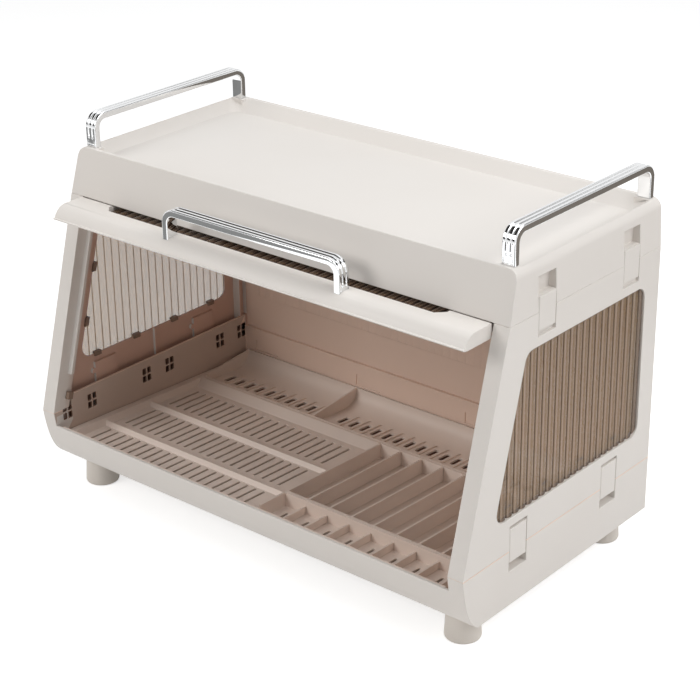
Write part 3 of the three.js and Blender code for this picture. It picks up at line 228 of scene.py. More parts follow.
def linear(red, green, blue):
    """Turns a screen colour, 0 to 255, into the linear light that shaders work in."""
    shares = [value / 255 for value in (red, green, blue)]
    curved = [s / 12.92 if s <= 0.04045 else ((s + 0.055) / 1.055) ** 2.4 for s in shares]
    return (*curved, 1.0)


print("cream in linear light", rounded(linear(228, 222, 214)))

# %% [markdown]
# ## Cream plastic
# The shell is injection moulded in a warm off-white with a fine spark-eroded texture, which breaks
# up its shine. A flat colour would look like paper, so two noises work together: a fine one raises
# the grain, and a broad one moves the tone and the gloss a little, as real mouldings do near their
# gates. The inner faces and the drain insert have painted warm light and painted shade in their
# colours, one tone for each place, standing in for the dim light in there, which has come through
# brown windows or past the door.

# %% The plastics
TONE_SCALE, GRIT_SCALE = 9.0, 1900.0
GRAIN, GRAIN_STRENGTH = 0.00003, 0.4
GLOSS_SPREAD, PLASTIC_SHEEN = 0.1, 0.4


def moulded_surface(finish, gloss, grain=GRAIN):
    """Gives a finish the gloss and the grain of a moulding, and returns its broad noise."""
    broad = finish.noise(TONE_SCALE)
    finish.set("Roughness", gloss - GLOSS_SPREAD / 2 + broad * GLOSS_SPREAD)
    finish.set("Specular IOR Level", PLASTIC_SHEEN)
    finish.bump(finish.noise(GRIT_SCALE, detail=1.0), grain, GRAIN_STRENGTH)
    return broad


def moulded_plastic(name, tone, warm_tone, gloss=0.42, grain=GRAIN):
    finish = Finish(name)
    broad = moulded_surface(finish, gloss, grain)
    finish.set("Base Color", finish.blend(broad, tone, warm_tone))
    return finish.material


shell_cream = moulded_plastic("shell_cream", linear(226, 221, 216), linear(223, 217, 211))
# Painted light and shade: the next five tones are the cream with painted warm light (back wall,
# insert) or painted shade (tub walls, vent holes, tub floor) from the brown-lit inside.
back_painted_warm_light = moulded_plastic("back_painted_warm_light", linear(244, 219, 203), linear(238, 211, 194), 0.5)
tub_painted_shade = moulded_plastic("tub_painted_shade", linear(206, 187, 175), linear(198, 178, 165), 0.5)
vent_painted_shade = moulded_plastic("vent_painted_shade", linear(150, 122, 104), linear(140, 112, 95), 0.6)
tub_floor_painted_shade = moulded_plastic("tub_floor_painted_shade", linear(168, 118, 98), linear(156, 108, 90), 0.6)
insert_painted_warm_light = moulded_plastic("insert_painted_warm_light", linear(237, 222, 212), linear(231, 214, 202), 0.46)
foot_cream = moulded_plastic("foot_cream", linear(226, 220, 213), linear(221, 213, 204), 0.5)
plastics = (shell_cream, back_painted_warm_light, tub_painted_shade, vent_painted_shade, tub_floor_painted_shade, insert_painted_warm_light, foot_cream)
print("plastics", [plastic.name for plastic in plastics])

# %% [markdown]
# ## Smoked plastic
# The windows are brown see-through sheets of upright half-round flutes. Where two flutes meet, the
# light bends away and the sheet looks like a thin dark line, with a fainter one on each crest and
# a bright one beside each crease. Real refraction needs many bounces and turns opaque in a game
# model, so the see-through part is set by Alpha, and the lines are painted into the colour:
# painted shade for the dark ones and a painted highlight for the bright one. Each line is a mask
# made from the distance to the nearest crease. The flat inner face gets a warmer finish without
# lines, with painted warm light for the light that comes through the sheet, and the cut edges an
# opaque one.

# %% The smoked sheets
CREASE_REACH, CREASE_ALPHA = 1.6, 0.95
CREST_REACH, CREST_SHARE, CREST_DEPTH = 1.3, 0.08, 0.6
SHINE_REACH, SHINE_SHARE, SHINE_SHIFT = 1.4, 0.09, 0.2
CREASE_SHADE_TONE, PAINTED_HIGHLIGHT_TONE = linear(62, 45, 35), linear(172, 154, 139)
CLOUD_SCALE, EDGE_CLOUD_SCALE = 14.0, 40.0
SHEET_GLOSS, SHEET_SPREAD, SHEET_SHEEN = 0.16, 0.06, 0.35


def soft_line(distance, half_width, reach, strongest=1.0):
    """A mask that is full on a line and fades out at `reach` half widths from it."""
    return (reach - distance / half_width).larger(0.0).smaller(strongest)


def smoked_sheet(name, axis, first_crease, pitch, line_share, clear_alpha, tones):
    finish = Finish(name)
    along = finish.node("ShaderNodeSeparateXYZ", output="XYZ".index(axis), Vector=finish.place())

    def each_flute(shift, share, reach, strongest=1.0):
        """One line along every flute, shifted from its crease by a share of the pitch."""
        distance = (along - (first_crease + pitch * shift)).repeat(pitch / 2)
        return soft_line(distance, pitch * share, reach, strongest)

    # Painted shade on each crease and crest, and a painted highlight beside each crease.
    crease = each_flute(0.0, line_share, CREASE_REACH)
    crest = each_flute(0.5, CREST_SHARE, CREST_REACH, CREST_DEPTH)
    painted_highlight = each_flute(SHINE_SHIFT, SHINE_SHARE, SHINE_REACH)
    cloud = finish.noise(CLOUD_SCALE)
    brown = finish.blend(painted_highlight, finish.blend(cloud, *tones), PAINTED_HIGHLIGHT_TONE)
    finish.set("Base Color", finish.blend(crease.larger(crest), brown, CREASE_SHADE_TONE))
    finish.set("Alpha", clear_alpha + crease * (CREASE_ALPHA - clear_alpha))
    finish.set("Roughness", SHEET_GLOSS + cloud * SHEET_SPREAD)
    finish.set("Specular IOR Level", SHEET_SHEEN)
    return finish.material


def plain_smoke(name, tones, cloud_scale, gloss, clear_alpha=1.0, sheen=0.5):
    finish = Finish(name)
    cloud = finish.noise(cloud_scale)
    finish.set("Base Color", finish.blend(cloud, *tones))
    finish.set("Alpha", clear_alpha)
    finish.set("Roughness", gloss + cloud * GLOSS_SPREAD)
    finish.set("Specular IOR Level", sheen)
    return finish.material


# The inner face's bright orange is painted warm light: it stands in for the light that comes
# through the brown sheet.
back_painted_light_tones = (linear(255, 202, 110), linear(247, 192, 100))
edge_tones = (linear(142, 119, 103), linear(126, 104, 89))
back_smoke_painted_light = plain_smoke("back_smoke_painted_light", back_painted_light_tones, CLOUD_SCALE, 0.3, clear_alpha=0.4, sheen=0.1)
edge_smoke = plain_smoke("smoke_edge", edge_tones, EDGE_CLOUD_SCALE, 0.2)
print("plain sheets", back_smoke_painted_light.name, edge_smoke.name)

# %% The fluted sheets
DEPTH_HALF = 0.15
WINDOW_FRONT_SETBACK = 0.0355
WINDOW_BACK, FLUTE_OVERRUN = 0.126, 0.004
DOOR_HALF = 0.2085
FLUTE_PITCH = 0.01


def whole_pitch(length):
    """The pitch nearest to the flutes' own that goes into the length a whole number of times."""
    return length / round(length / FLUTE_PITCH)


first_flute = -DEPTH_HALF + WINDOW_FRONT_SETBACK
last_flute = WINDOW_BACK + FLUTE_OVERRUN
side_pitch = whole_pitch(last_flute - first_flute)
door_pitch = whole_pitch(2 * DOOR_HALF)
side_tones = (linear(136, 119, 105), linear(128, 111, 96))
door_tones = (linear(126, 104, 84), linear(116, 94, 75))
side_smoke = smoked_sheet("side_smoke", "Y", first_flute, side_pitch, 0.065, 0.57, side_tones)
door_smoke = smoked_sheet("door_smoke", "X", -DOOR_HALF, door_pitch, 0.16, 0.6, door_tones)
print("flute pitch in mm", rounded((side_pitch * 1000, door_pitch * 1000), 2))

# %% [markdown]
# ## Painted light and shade inside the side panels
# The inner faces of the side panels get painted shade and painted light: warm and dark deep
# inside, and as pale as the shell along the sloped front edge, where the light from outside
# reaches them.
# The mask between the two tones is the distance behind the front edge, worked out from the piece's
# own place.

# %% Painted shade and light inside the side panels
SEAM_HEIGHT = 0.089
FRONT_LEAN = 0.061 / 0.219
FRONT_STRIP, STRIP_REACH = 0.02, 1.7
LIT_STRIP_TONE = linear(224, 216, 209)
DEEP_SHADE_TONES = (linear(216, 182, 166), linear(208, 172, 155))


def paint_side_light_and_shade():
    finish = Finish("side_painted_light_and_shade")
    broad = moulded_surface(finish, gloss=0.5)
    depth = finish.node("ShaderNodeSeparateXYZ", output=1, Vector=finish.place())
    height = finish.node("ShaderNodeSeparateXYZ", output=2, Vector=finish.place())
    from_front = depth + DEPTH_HALF - (height - SEAM_HEIGHT).larger(0.0) * FRONT_LEAN
    front = soft_line(from_front, FRONT_STRIP, STRIP_REACH)
    deep = finish.blend(broad, *DEEP_SHADE_TONES)
    finish.set("Base Color", finish.blend(front, deep, LIT_STRIP_TONE))
    return finish.material


side_painted_light_and_shade = paint_side_light_and_shade()
print("shading_finish", side_painted_light_and_shade.name)

# %% [markdown]
# ## Chrome, steel and rubber
# The handles are chromed, so they show the room more than a colour of their own. A faint noise in
# the roughness stands for the film of handling that every chromed bar has. Screws and pins are
# brushed steel, and the door stops are brown rubber, which is moulded as the plastics are, with a
# coarser grain.

# %% The metals and the rubber
FILM_SCALE, FILM_DIMS = 60.0, 0.94


def metal(name, tone, roughness, spread):
    finish = Finish(name)
    film = finish.noise(FILM_SCALE, detail=4.0)
    dimmed = (*(FILM_DIMS * share for share in tone[:3]), 1.0)
    finish.set("Base Color", finish.blend(film, tone, dimmed))
    finish.set("Metallic", 1.0)
    finish.set("Roughness", roughness + film * spread)
    return finish.material


chrome = metal("chrome", linear(238, 239, 240), 0.02, 0.04)
steel = metal("brushed_steel", linear(190, 192, 196), 0.24, 0.12)
rubber_tones = (linear(150, 128, 112), linear(126, 104, 88))
rubber = moulded_plastic("brown_rubber", *rubber_tones, gloss=0.55, grain=0.00008)
print("metals", chrome.name, steel.name, "and", rubber.name)

# %% [markdown]
# ## Softening a moulded piece
# A CAD solid has knife edges, and a moulding never has: its edges are rounded by the cutter that
# made the mould, and each one catches a thin line of light. A Bevel shader node would fake that
# line, but the exported mesh would lose it, so the edges are rounded in the mesh. The copy is
# first merged into whole faces, because the CAD file comes as triangles, and then every sharp edge
# is bevelled. A piece may have painted shading too: each is a finish with painted shade or painted
# warm light in its colour, and a rule that picks the faces that take it.

# %% From a form to a shown piece


def to_mesh(form, name):
    """Writes a finished form to a new mesh and lets go of the form."""
    mesh = bpy.data.meshes.new(name)
    form.to_mesh(mesh)
    form.free()
    return mesh


def show(name, mesh, materials, body, slot, *replaced):
    """Adds a piece that rides on a body and stands for the replaced CAD nodes. The slot is not
    used.
    """
    piece = bpy.data.objects.new(name, mesh)
    bpy.context.scene.collection.objects.link(piece)
    for material in materials:
        mesh.materials.append(material)
    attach(piece, body)
    if replaced:
        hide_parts(*replaced)
    return piece


def shade_smooth(piece, sharpest):
    """Shades the faces as one skin, except over edges that turn more than the given angle."""
    for face in piece.data.polygons:
        face.use_smooth = True
    piece.data.set_sharp_from_angle(angle=sharpest)
    return piece


print("a form becomes a mesh, then a piece, then a smooth one")

# %% Soft edges
WELD, EVEN_WEIGHT = 2e-6, 80
FLAT, SHARP, SMOOTH = math.radians(0.6), math.radians(28), math.radians(50)


def soften(node, material, slot, radius=0.0006, segments=2, painted_shading=(), shortest=0.0):
    """Shows a rounded copy of a CAD node. Edges below the shortest length stay as they are."""
    source = nodes[node]
    form = bmesh.new()
    form.from_mesh(source.data)
    bmesh.ops.remove_doubles(form, verts=form.verts, dist=WELD)
    bmesh.ops.dissolve_limit(form, angle_limit=FLAT, verts=form.verts, edges=form.edges)
    joined = [e for e in form.edges if len(e.link_faces) == 2 and e.calc_length() >= shortest]
    sharp = [e for e in joined if e.calc_face_angle() > SHARP]
    bmesh.ops.bevel(
        form, geom=sharp, offset=radius, segments=segments, profile=0.5, affect="EDGES",
        clamp_overlap=False,
    )
    for face in form.faces:
        picks = [pick(face.calc_center_median(), face.normal) for _, pick in painted_shading]
        face.material_index = picks.index(True) + 1 if True in picks else 0
    finishes = [material] + [shading_finish for shading_finish, _ in painted_shading]
    mesh = to_mesh(form, f"{node}_soft")
    piece = show(f"{node}_soft", mesh, finishes, source["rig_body"], slot, node)
    even = shade_smooth(piece, SMOOTH).modifiers.new("even_normals", "WEIGHTED_NORMAL")
    even.keep_sharp = True
    even.weight = EVEN_WEIGHT
    return piece


print("edges above", round(math.degrees(SHARP)), "degrees are rounded")

# %% [markdown]
# ## The shell
# Base, side panels, back panel, top cover and the door's frame are the big mouldings. Inside, the
# side panels take painted shade with a painted lit strip, the back panel takes painted warm light,
# and the base takes four tones: painted shade on its side walls, painted warm light on its back
# wall and rim, painted shade on the floor under the insert, and a darker painted shade in the vent
# holes.
# Faces could be listed by number, but the numbers change with the CAD file. Here a face is picked
# by where it lies and where it looks. The door's rail keeps the short edges of its two handle
# seats
# sharp: the handle covers them, and rounding them would fold the thin strips of the rail's nose
# beside them.

# %% Which faces take painted shade or painted warm light
TURNED, RIM_TURNED, LOOKS_IN = 0.5, 0.3, -0.1
PANEL_SKIN, PANEL_END, EDGE_ON = 0.2632, 0.12, 0.002
TUB_SIDE, TUB_END = 0.24, 0.13
TUB_BACK_WALL = (0.13, 0.1445)
TUB_FLOOR = (0.02, 0.038)
TUB_WALL_FOOT, TUB_RIM = 0.034, 0.0885
VENT_WALL = (0.2532, 0.2558)
VENT_LOW, VENT_HIGH = 0.074, 0.0915
VENT_END, HOLLOW_END = 0.14, 0.146


def panel_inside(place, look):
    inward = abs(place.x) < PANEL_SKIN and look.x * place.x < EDGE_ON
    front_edge = place.y <= -PANEL_END or look.y <= -TURNED
    back_edge = place.y > PANEL_END and look.y > TURNED
    return bool(inward and not front_edge and not back_edge)


def back_inside(place, look):
    return bool(look.y < TURNED)


def tub_beside(place, look):
    beside = TUB_SIDE < abs(place.x) < VENT_WALL[1] and abs(place.y) < TUB_END
    return bool(beside and place.z > TUB_WALL_FOOT and abs(look.z) < TURNED)


def tub_behind(place, look):
    behind = abs(place.x) < VENT_WALL[1] and TUB_BACK_WALL[0] < place.y < TUB_BACK_WALL[1]
    wall = behind and place.z > TUB_WALL_FOOT and look.z > -TURNED
    rim = place.z > TUB_RIM and look.z > RIM_TURNED
    return bool(wall or rim)


def tub_floor(place, look):
    return bool(look.z > TURNED and TUB_FLOOR[0] < place.z < TUB_FLOOR[1])


def vent_inside(place, look):
    in_wall = VENT_WALL[0] < abs(place.x) < VENT_WALL[1] and VENT_LOW < place.z < VENT_HIGH
    in_hole = in_wall and abs(look.x) < TURNED and abs(place.y) < VENT_END
    in_hollow = abs(place.x) > VENT_WALL[1] and look.x * place.x < LOOKS_IN
    return bool(in_hole or in_hollow and abs(place.y) < HOLLOW_END)


print("vent holes from", VENT_LOW, "to", VENT_HIGH, "m up")

# %% The big mouldings
HANDLE_SEAT = 0.016
# Painted shading in the tub: a darker painted shade in the vents, painted shade on the tub floor
# and walls, painted warm light on the back wall and rim.
tub_painted_shading = [
    (vent_painted_shade, vent_inside), (tub_floor_painted_shade, tub_floor),
    (back_painted_warm_light, tub_behind), (tub_painted_shade, tub_beside),
]
panel_painted_shading = [(side_painted_light_and_shade, panel_inside)]
shell = [
    soften("base_tray", shell_cream, "body", painted_shading=tub_painted_shading),
    soften("side_panel_left", shell_cream, "body", painted_shading=panel_painted_shading),
    soften("side_panel_right", shell_cream, "body", painted_shading=panel_painted_shading),
    soften("back_panel", shell_cream, "body", 0.0004, painted_shading=[(back_painted_warm_light, back_inside)]),
    soften("top_cover", shell_cream, "body", 0.0008, 3),
    soften("door_frame", shell_cream, "body", shortest=HANDLE_SEAT),
]
for piece in shell:
    print(piece.name, len(piece.data.polygons), "faces")

# %% [markdown]
# ## The insert and the small pieces
# The drain insert, the lock plates, the feet and the fasteners have their shape from the CAD file,
# so each needs only soft edges and its finish. They could be called one by one. A table that goes
# by the start of each name is shorter, and shows at a glance which pieces share a finish.

# %% The small pieces
SMALL_PIECES = (
    (("drain_grid", "rear_trough", "plate_", "cup_"), insert_painted_warm_light, "body", 0.0003, 2),
    (("upper_lock_", "lower_lock_"), shell_cream, "body", 0.0004, 2),
    (("door_shoe_",), shell_cream, "body", 0.0003, 2),
    (("foot_",), foot_cream, "feet", 0.0012, 3),
    (("door_bumper_",), rubber, "bumpers", 0.0008, 2),
    (("door_screw_", "handle_screw_", "door_pin_"), steel, "screws", 0.0002, 2),
    (("door_window",), door_smoke, "windows", 0.0001, 1),
)
small = [
    soften(name, finish, slot, radius, segments)
    for name in nodes
    for starts, finish, slot, radius, segments in SMALL_PIECES
    if name.startswith(starts)
]
print("softened", len(small), "small pieces")

# %% [markdown]
# ## The side windows
# Each pane is one sheet, flat behind and fluted in front, cut to a four-sided outline with round
# corners. It could be cut from the CAD pane, whose flutes have few facets. Here it is drawn again:
# the outline is sliced upright at many places along the flutes, and each slice gives one upright
# strip. Every flute is an arc of a circle, so its flanks meet in a clean crease and a few strips
# are enough to keep it round.

# %% Outline and slices
WINDOW_LOW, WINDOW_HIGH = 0.1225, 0.276
CORNER_RADIUS = 0.011
PANE_GAP = 0.0003


def round_corners(corners, radius, steps=8):
    """Replaces each corner by an arc of the radius."""
    outline = []
    for i, corner in enumerate(corners):
        here = Vector(corner)
        back = (Vector(corners[i - 1]) - here).normalized()
        ahead = (Vector(corners[(i + 1) % len(corners)]) - here).normalized()
        half_turn = back.angle(ahead) / 2
        middle = here + (back + ahead).normalized() * radius / math.sin(half_turn)
        start = here + back * radius / math.tan(half_turn) - middle
        end = here + ahead * radius / math.tan(half_turn) - middle
        sweep = start.angle(end)
        for step in range(steps + 1):
            share = step / steps
            first = math.sin((1 - share) * sweep) / math.sin(sweep)
            second = math.sin(share * sweep) / math.sin(sweep)
            outline.append(middle + start * first + end * second)
    return outline


def front_at(height, setback):
    """A line that follows the panel's sloped front edge."""
    return -DEPTH_HALF + (height - SEAM_HEIGHT) * FRONT_LEAN + setback


def window_outline(inset):
    low, high = WINDOW_LOW + inset, WINDOW_HIGH - inset
    back = WINDOW_BACK - inset
    front_low = front_at(low, WINDOW_FRONT_SETBACK) + inset
    front_high = front_at(high, WINDOW_FRONT_SETBACK) + inset
    corners = [(front_low, low), (back, low), (back, high), (front_high, high)]
    return round_corners(corners, CORNER_RADIUS - inset)


def slice_at(outline, along):
    """The lowest and highest point of an outline at one place along it."""
    heights = []
    for first, second in zip(outline, outline[1:] + outline[:1]):
        if (first.x - along) * (second.x - along) <= 0 and first.x != second.x:
            rise = (second.y - first.y) * (along - first.x) / (second.x - first.x)
            heights.append(first.y + rise)
    return min(heights), max(heights)


print("pane at its middle", rounded(slice_at(window_outline(PANE_GAP), 0.0), 4))

# %% The flutes
FLUTE_RISE, FLUTE_STEPS = 0.002, 8


def crest_height(across, half_pitch):
    """Height of a circle's arc as a share of its rise, at -1 to 1 across one flute."""
    radius = (half_pitch ** 2 + FLUTE_RISE ** 2) / (2 * FLUTE_RISE)
    return (math.sqrt(radius ** 2 - (across * half_pitch) ** 2) - radius + FLUTE_RISE) / FLUTE_RISE


def flute_samples(first, last, pitch):
    """Places along the sheet, each with the height of its flute there."""
    samples = []
    for i in range(round((last - first) / pitch)):
        for step in range(FLUTE_STEPS):
            across = 2 * step / FLUTE_STEPS - 1
            place = first + (i + (1 + across) / 2) * pitch
            samples.append((place, crest_height(across, pitch / 2)))
    return samples


print("samples across one pane", len(flute_samples(first_flute, last_flute, side_pitch)))

# %% The fluted pane
PANE_OUT, PANE_THICK = 0.2664, 0.002
PANE_BACK = PANE_OUT - PANE_THICK
END_CREST, HAIR = 0.3, 1e-5
FLUTED_FACE, CUT_EDGE, INNER_FACE = range(3)
PANE_FINISHES = (side_smoke, edge_smoke, back_smoke_painted_light)


def pane(side):
    """One strip for each sample: its outer face, its two cut edges and its inner face."""
    outline = window_outline(PANE_GAP)
    front_end = min(p.x for p in outline)
    back_end = max(p.x for p in outline)
    samples = flute_samples(first_flute, last_flute, side_pitch)
    inside = [(along, crest) for along, crest in samples if front_end < along < back_end]
    form = bmesh.new()
    rings = []
    for along, crest in [(front_end, END_CREST)] + inside + [(back_end, END_CREST)]:
        low, high = slice_at(outline, min(max(along, front_end + HAIR), back_end - HAIR))
        out = PANE_OUT + FLUTE_RISE * crest
        corners = [(out, low), (out, high), (PANE_BACK, high), (PANE_BACK, low)]
        rings.append([form.verts.new((side * x, along, z)) for x, z in corners])
    for ring, following in zip(rings, rings[1:]):
        for i, finish in enumerate((FLUTED_FACE, CUT_EDGE, INNER_FACE, CUT_EDGE)):
            j = (i + 1) % 4
            face = form.faces.new((ring[i], ring[j], following[j], following[i]))
            face.material_index = finish
    for ring in (rings[0], rings[-1][::-1]):
        form.faces.new(ring).material_index = CUT_EDGE
    return form


print("a pane is", round((PANE_THICK + FLUTE_RISE) * 1000, 1), "mm thick at its crests")

# %% [markdown]
# ## The clips behind each pane
# Small hooks reach through the opening and hold the pane to the lip that it sits on: four along
# the bottom and two on the sloped front. They show from inside as dark tabs, so they take the edge
# finish. A hook could be two blocks, but faces that touch render black in a see-through piece, so
# each hook is one L-shaped section, drawn out along the lip.

# %% The clips
HOLE_LOW, HOLE_HIGH = 0.1295, 0.27
HOLE_SETBACK = 0.0386
CLIP_WIDTH, CLIP_TALL, CLIP_HOOK = 0.009, 0.0026, 0.0022
CLIP_INNER, CLIP_OUTER = 0.2602, 0.2622
CLIP_FIRST, CLIP_PITCH, CLIPS_BELOW = 0.0228, 0.0567, 4
FRONT_CLIP_SHARES = (0.25, 0.65)
CLIP_SECTION = (
    (CLIP_INNER, -CLIP_HOOK), (CLIP_OUTER, -CLIP_HOOK), (CLIP_OUTER, PANE_GAP),
    (PANE_BACK, PANE_GAP), (PANE_BACK, CLIP_TALL), (CLIP_INNER, CLIP_TALL),
)


def clip_ends():
    """Both ends of each clip: a place on the lip, and the way that the clip rises from it."""
    ends = []
    start = front_at(HOLE_LOW, HOLE_SETBACK) + CLIP_FIRST
    for i in range(CLIPS_BELOW):
        middle = start + i * CLIP_PITCH
        sides = (middle - CLIP_WIDTH / 2, middle + CLIP_WIDTH / 2)
        ends.append([((y, HOLE_LOW), (0, 1)) for y in sides])
    for share in FRONT_CLIP_SHARES:
        foot = HOLE_LOW + (HOLE_HIGH - HOLE_LOW) * share
        ends.append([((front_at(z, HOLE_SETBACK), z), (1, 0)) for z in (foot, foot + CLIP_WIDTH)])
    return ends


def clip_ring(form, side, end):
    (y, z), (up_y, up_z) = end
    places = [(side * x, y + rise * up_y, z + rise * up_z) for x, rise in CLIP_SECTION]
    return [form.verts.new(place) for place in places]


def add_clips(form, side):
    for near, far in clip_ends():
        first, second = clip_ring(form, side, near), clip_ring(form, side, far)
        faces = [form.faces.new(first), form.faces.new(second[::-1])]
        for i in range(len(first)):
            j = (i + 1) % len(first)
            faces.append(form.faces.new((first[j], first[i], second[i], second[j])))
        for face in faces:
            face.material_index = CUT_EDGE


print("clips behind each pane", len(clip_ends()))

# %% The two side windows


def side_window(name, side):
    form = pane(side)
    add_clips(form, side)
    bmesh.ops.recalc_face_normals(form, faces=form.faces)
    mesh = to_mesh(form, name)
    piece = show(f"{name}_pane", mesh, PANE_FINISHES, nodes[name]["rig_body"], "windows", name)
    return shade_smooth(piece, SMOOTH)


for name, side in (("side_window_left", -1), ("side_window_right", 1)):
    print(name, len(side_window(name, side).data.polygons), "faces")

# %% [markdown]
# ## The chrome handles
# A handle is a flat bar bent into a low arch. Its outer face has three ridges with two grooves
# between them, which end in two dots above each foot, and the foot has a small pressed frame. It
# is made by sweeping one section along the arch. The section has many points, so that grooves,
# dots and frame are just dents in the outer face: each point is pushed in by a depth that depends
# on how far along the arch and how far across the bar it lies.

# %% The dents in the outer face
GROOVE_AT, GROOVE_HALF, GROOVE_DEEP = 0.0025, 0.0009, 0.0008
GROOVE_END, GROOVE_FADE = 0.0108, 0.0012
DOT_HEIGHT, DOT_RADIUS, DOT_DEEP = 0.0092, 0.0011, 0.0014
FRAME_HALF, FRAME_TALL, FRAME_BAR = 0.0049, 0.006, 0.0026
FRAME_LINE, FRAME_DEEP = 0.00065, 0.0011
CROWN = 0.00022


def dent(distance, half, deep):
    share = max(0.0, 1 - (distance / half) ** 2)
    return deep * math.sqrt(share)


def press(across, height):
    """How far the outer face is pressed in, across the bar and at a height above the foot."""
    from_groove = abs(abs(across) - GROOVE_AT)
    fade = min(1.0, max(0.0, (height - GROOVE_END) / GROOVE_FADE))
    deep = dent(from_groove, GROOVE_HALF, GROOVE_DEEP) * fade
    deep = max(deep, dent(math.hypot(from_groove, height - DOT_HEIGHT), DOT_RADIUS, DOT_DEEP))
    if height < FRAME_TALL:
        deep = max(deep, dent(abs(abs(across) - FRAME_HALF), FRAME_LINE, FRAME_DEEP))
    if abs(across) < FRAME_HALF:
        deep = max(deep, dent(abs(height - FRAME_BAR), FRAME_LINE, FRAME_DEEP))
    ridge = round(across / (2 * GROOVE_AT)) * 2 * GROOVE_AT
    return deep + CROWN * ((across - ridge) / GROOVE_AT) ** 2


print("dent at a groove", round(press(GROOVE_AT, 0.02) * 1000, 2), "mm")

# %% The arch
BAR_THICK, BAR_HEIGHT, BEND_RADIUS = 0.007, 0.034, 0.015
STRAIGHT_STEP, FOOT_STEP, FOOT_ZONE = 0.012, 0.00035, 0.0126
BEND_STEPS = 16


def arch(length):
    """Points of the middle line with their outward direction and height above the nearer foot."""
    reach = length / 2 - BAR_THICK / 2
    bend = BEND_RADIUS - BAR_THICK / 2
    shoulder = BAR_HEIGHT - BEND_RADIUS
    leg = [i * FOOT_STEP for i in range(int(FOOT_ZONE / FOOT_STEP) + 1)]
    leg += [(FOOT_ZONE + shoulder) / 2, shoulder]
    half = [((-reach, z), (-1.0, 0.0), z) for z in leg]
    for step in range(1, BEND_STEPS + 1):
        turn = math.pi / 2 * step / BEND_STEPS
        out = (-math.cos(turn), math.sin(turn))
        half.append(((-reach + bend + bend * out[0], shoulder + bend * out[1]), out, BAR_HEIGHT))
    start, level = -reach + bend, BAR_HEIGHT - BAR_THICK / 2
    spans = max(2, round(-start / STRAIGHT_STEP))
    for i in range(1, spans + 1):
        half.append(((start - start * i / spans, level), (0.0, 1.0), BAR_HEIGHT))
    mirrored = [((-p[0], p[1]), (-o[0], o[1]), h) for p, o, h in half[:-1]]
    return half + mirrored[::-1]


print("points along a 0.2 m handle", len(arch(0.2)))

# %% The section
BAR_WIDTH = 0.014
OUTER_ROUND, INNER_ROUND = 0.0014, 0.001
FACE_STEPS, CORNER_STEPS = 44, 6


def bar_corner(radius, centre_out, first_angle, first_step):
    points = []
    for i in range(first_step, CORNER_STEPS + 1):
        turn = math.radians(first_angle - 90 / CORNER_STEPS * i)
        across = BAR_WIDTH / 2 - radius + radius * math.cos(turn)
        points.append((across, centre_out + radius * math.sin(turn)))
    return points


def section(height):
    """The bar's outline as (across, outward), once round, at a height above the foot."""
    half_thick = BAR_THICK / 2
    outer = []
    for i in range(FACE_STEPS + 1):
        across = (BAR_WIDTH / 2 - OUTER_ROUND) * (2 * i / FACE_STEPS - 1)
        outer.append((across, half_thick - press(across, height)))
    side = bar_corner(OUTER_ROUND, half_thick - OUTER_ROUND, 90, 1)
    side += bar_corner(INNER_ROUND, INNER_ROUND - half_thick, 0, 0)
    return outer + side + [(-across, out) for across, out in side][::-1]


print("one section has", len(section(0.02)), "points")

# %% The three handles
HANDLE_SMOOTH = math.radians(62)
ALONG_WIDTH, ALONG_DEPTH = Matrix.Identity(3), Matrix.Rotation(math.pi / 2, 3, "Z")


def handle(node, turn):
    low, high = (Vector(corner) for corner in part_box(node))
    middle = (low + high) / 2
    length = max(high.x - low.x, high.y - low.y)
    form = bmesh.new()
    rings = []
    for (along, up), (out_along, out_up), height in arch(length):
        ring = []
        for across, out in section(height):
            place = turn @ Vector((along + out * out_along, across, up + out * out_up))
            ring.append(form.verts.new(Vector((middle.x, middle.y, low.z)) + place))
        rings.append(ring)
    for ring, following in zip(rings, rings[1:]):
        for i in range(len(ring)):
            j = (i + 1) % len(ring)
            form.faces.new((ring[i], following[i], following[j], ring[j]))
    form.faces.new(rings[0])
    form.faces.new(rings[-1][::-1])
    bmesh.ops.recalc_face_normals(form, faces=form.faces)
    mesh = to_mesh(form, node)
    piece = show(f"{node}_bar", mesh, [chrome], nodes[node]["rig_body"], "handles", node)
    return shade_smooth(piece, HANDLE_SMOOTH)


for name in ("top_handle_left", "top_handle_right"):
    print(name, len(handle(name, ALONG_DEPTH).data.polygons), "faces")
print("door_handle", len(handle("door_handle", ALONG_WIDTH).data.polygons), "faces")

# %% [markdown]
# ## The studio floor
# The cabinet stands on a white floor that runs on into a white background. More light on the floor
# would wash out the cabinet too, so the white comes from Light Path: the camera, mirrors and clear
# sheets see a floor that glows a little and a background of full strength. Light that bounces sees
# a plain pale floor and a dim room, and the cabinet's shadow stays.

# %% The background
ROOM_LIGHT = 0.3


def seen_directly(tree):
    """1 for the camera, for mirrors and through clear sheets, and 0 for light that bounces."""
    rays = tree.nodes.new("ShaderNodeLightPath")
    camera_ray = Value(tree, rays.outputs["Is Camera Ray"])
    glossy_ray = Value(tree, rays.outputs["Is Glossy Ray"])
    through_ray = Value(tree, rays.outputs["Is Transmission Ray"])
    return camera_ray.larger(glossy_ray).larger(through_ray)


world = bpy.data.worlds.new("studio")
bpy.context.scene.world = world
world.use_nodes = True
backlight = world.node_tree.nodes["Background"]
backlight.inputs["Color"].default_value = (1, 1, 1, 1)
strength = ROOM_LIGHT + seen_directly(world.node_tree) * (1 - ROOM_LIGHT)
world.node_tree.links.new(strength.socket, backlight.inputs["Strength"])
print("the room is at", ROOM_LIGHT, "of its seen strength")

# %% The floor
FLOOR_BOUNCE, FLOOR_SEEN = (0.78, 0.765, 0.75, 1), (0.8, 0.8, 0.8, 1)
NO_GLOW, FLOOR_GLOW = (0, 0, 0, 1), (0.62, 0.62, 0.62, 1)
FLOOR_HALF, MATT = 6.0, 0.9


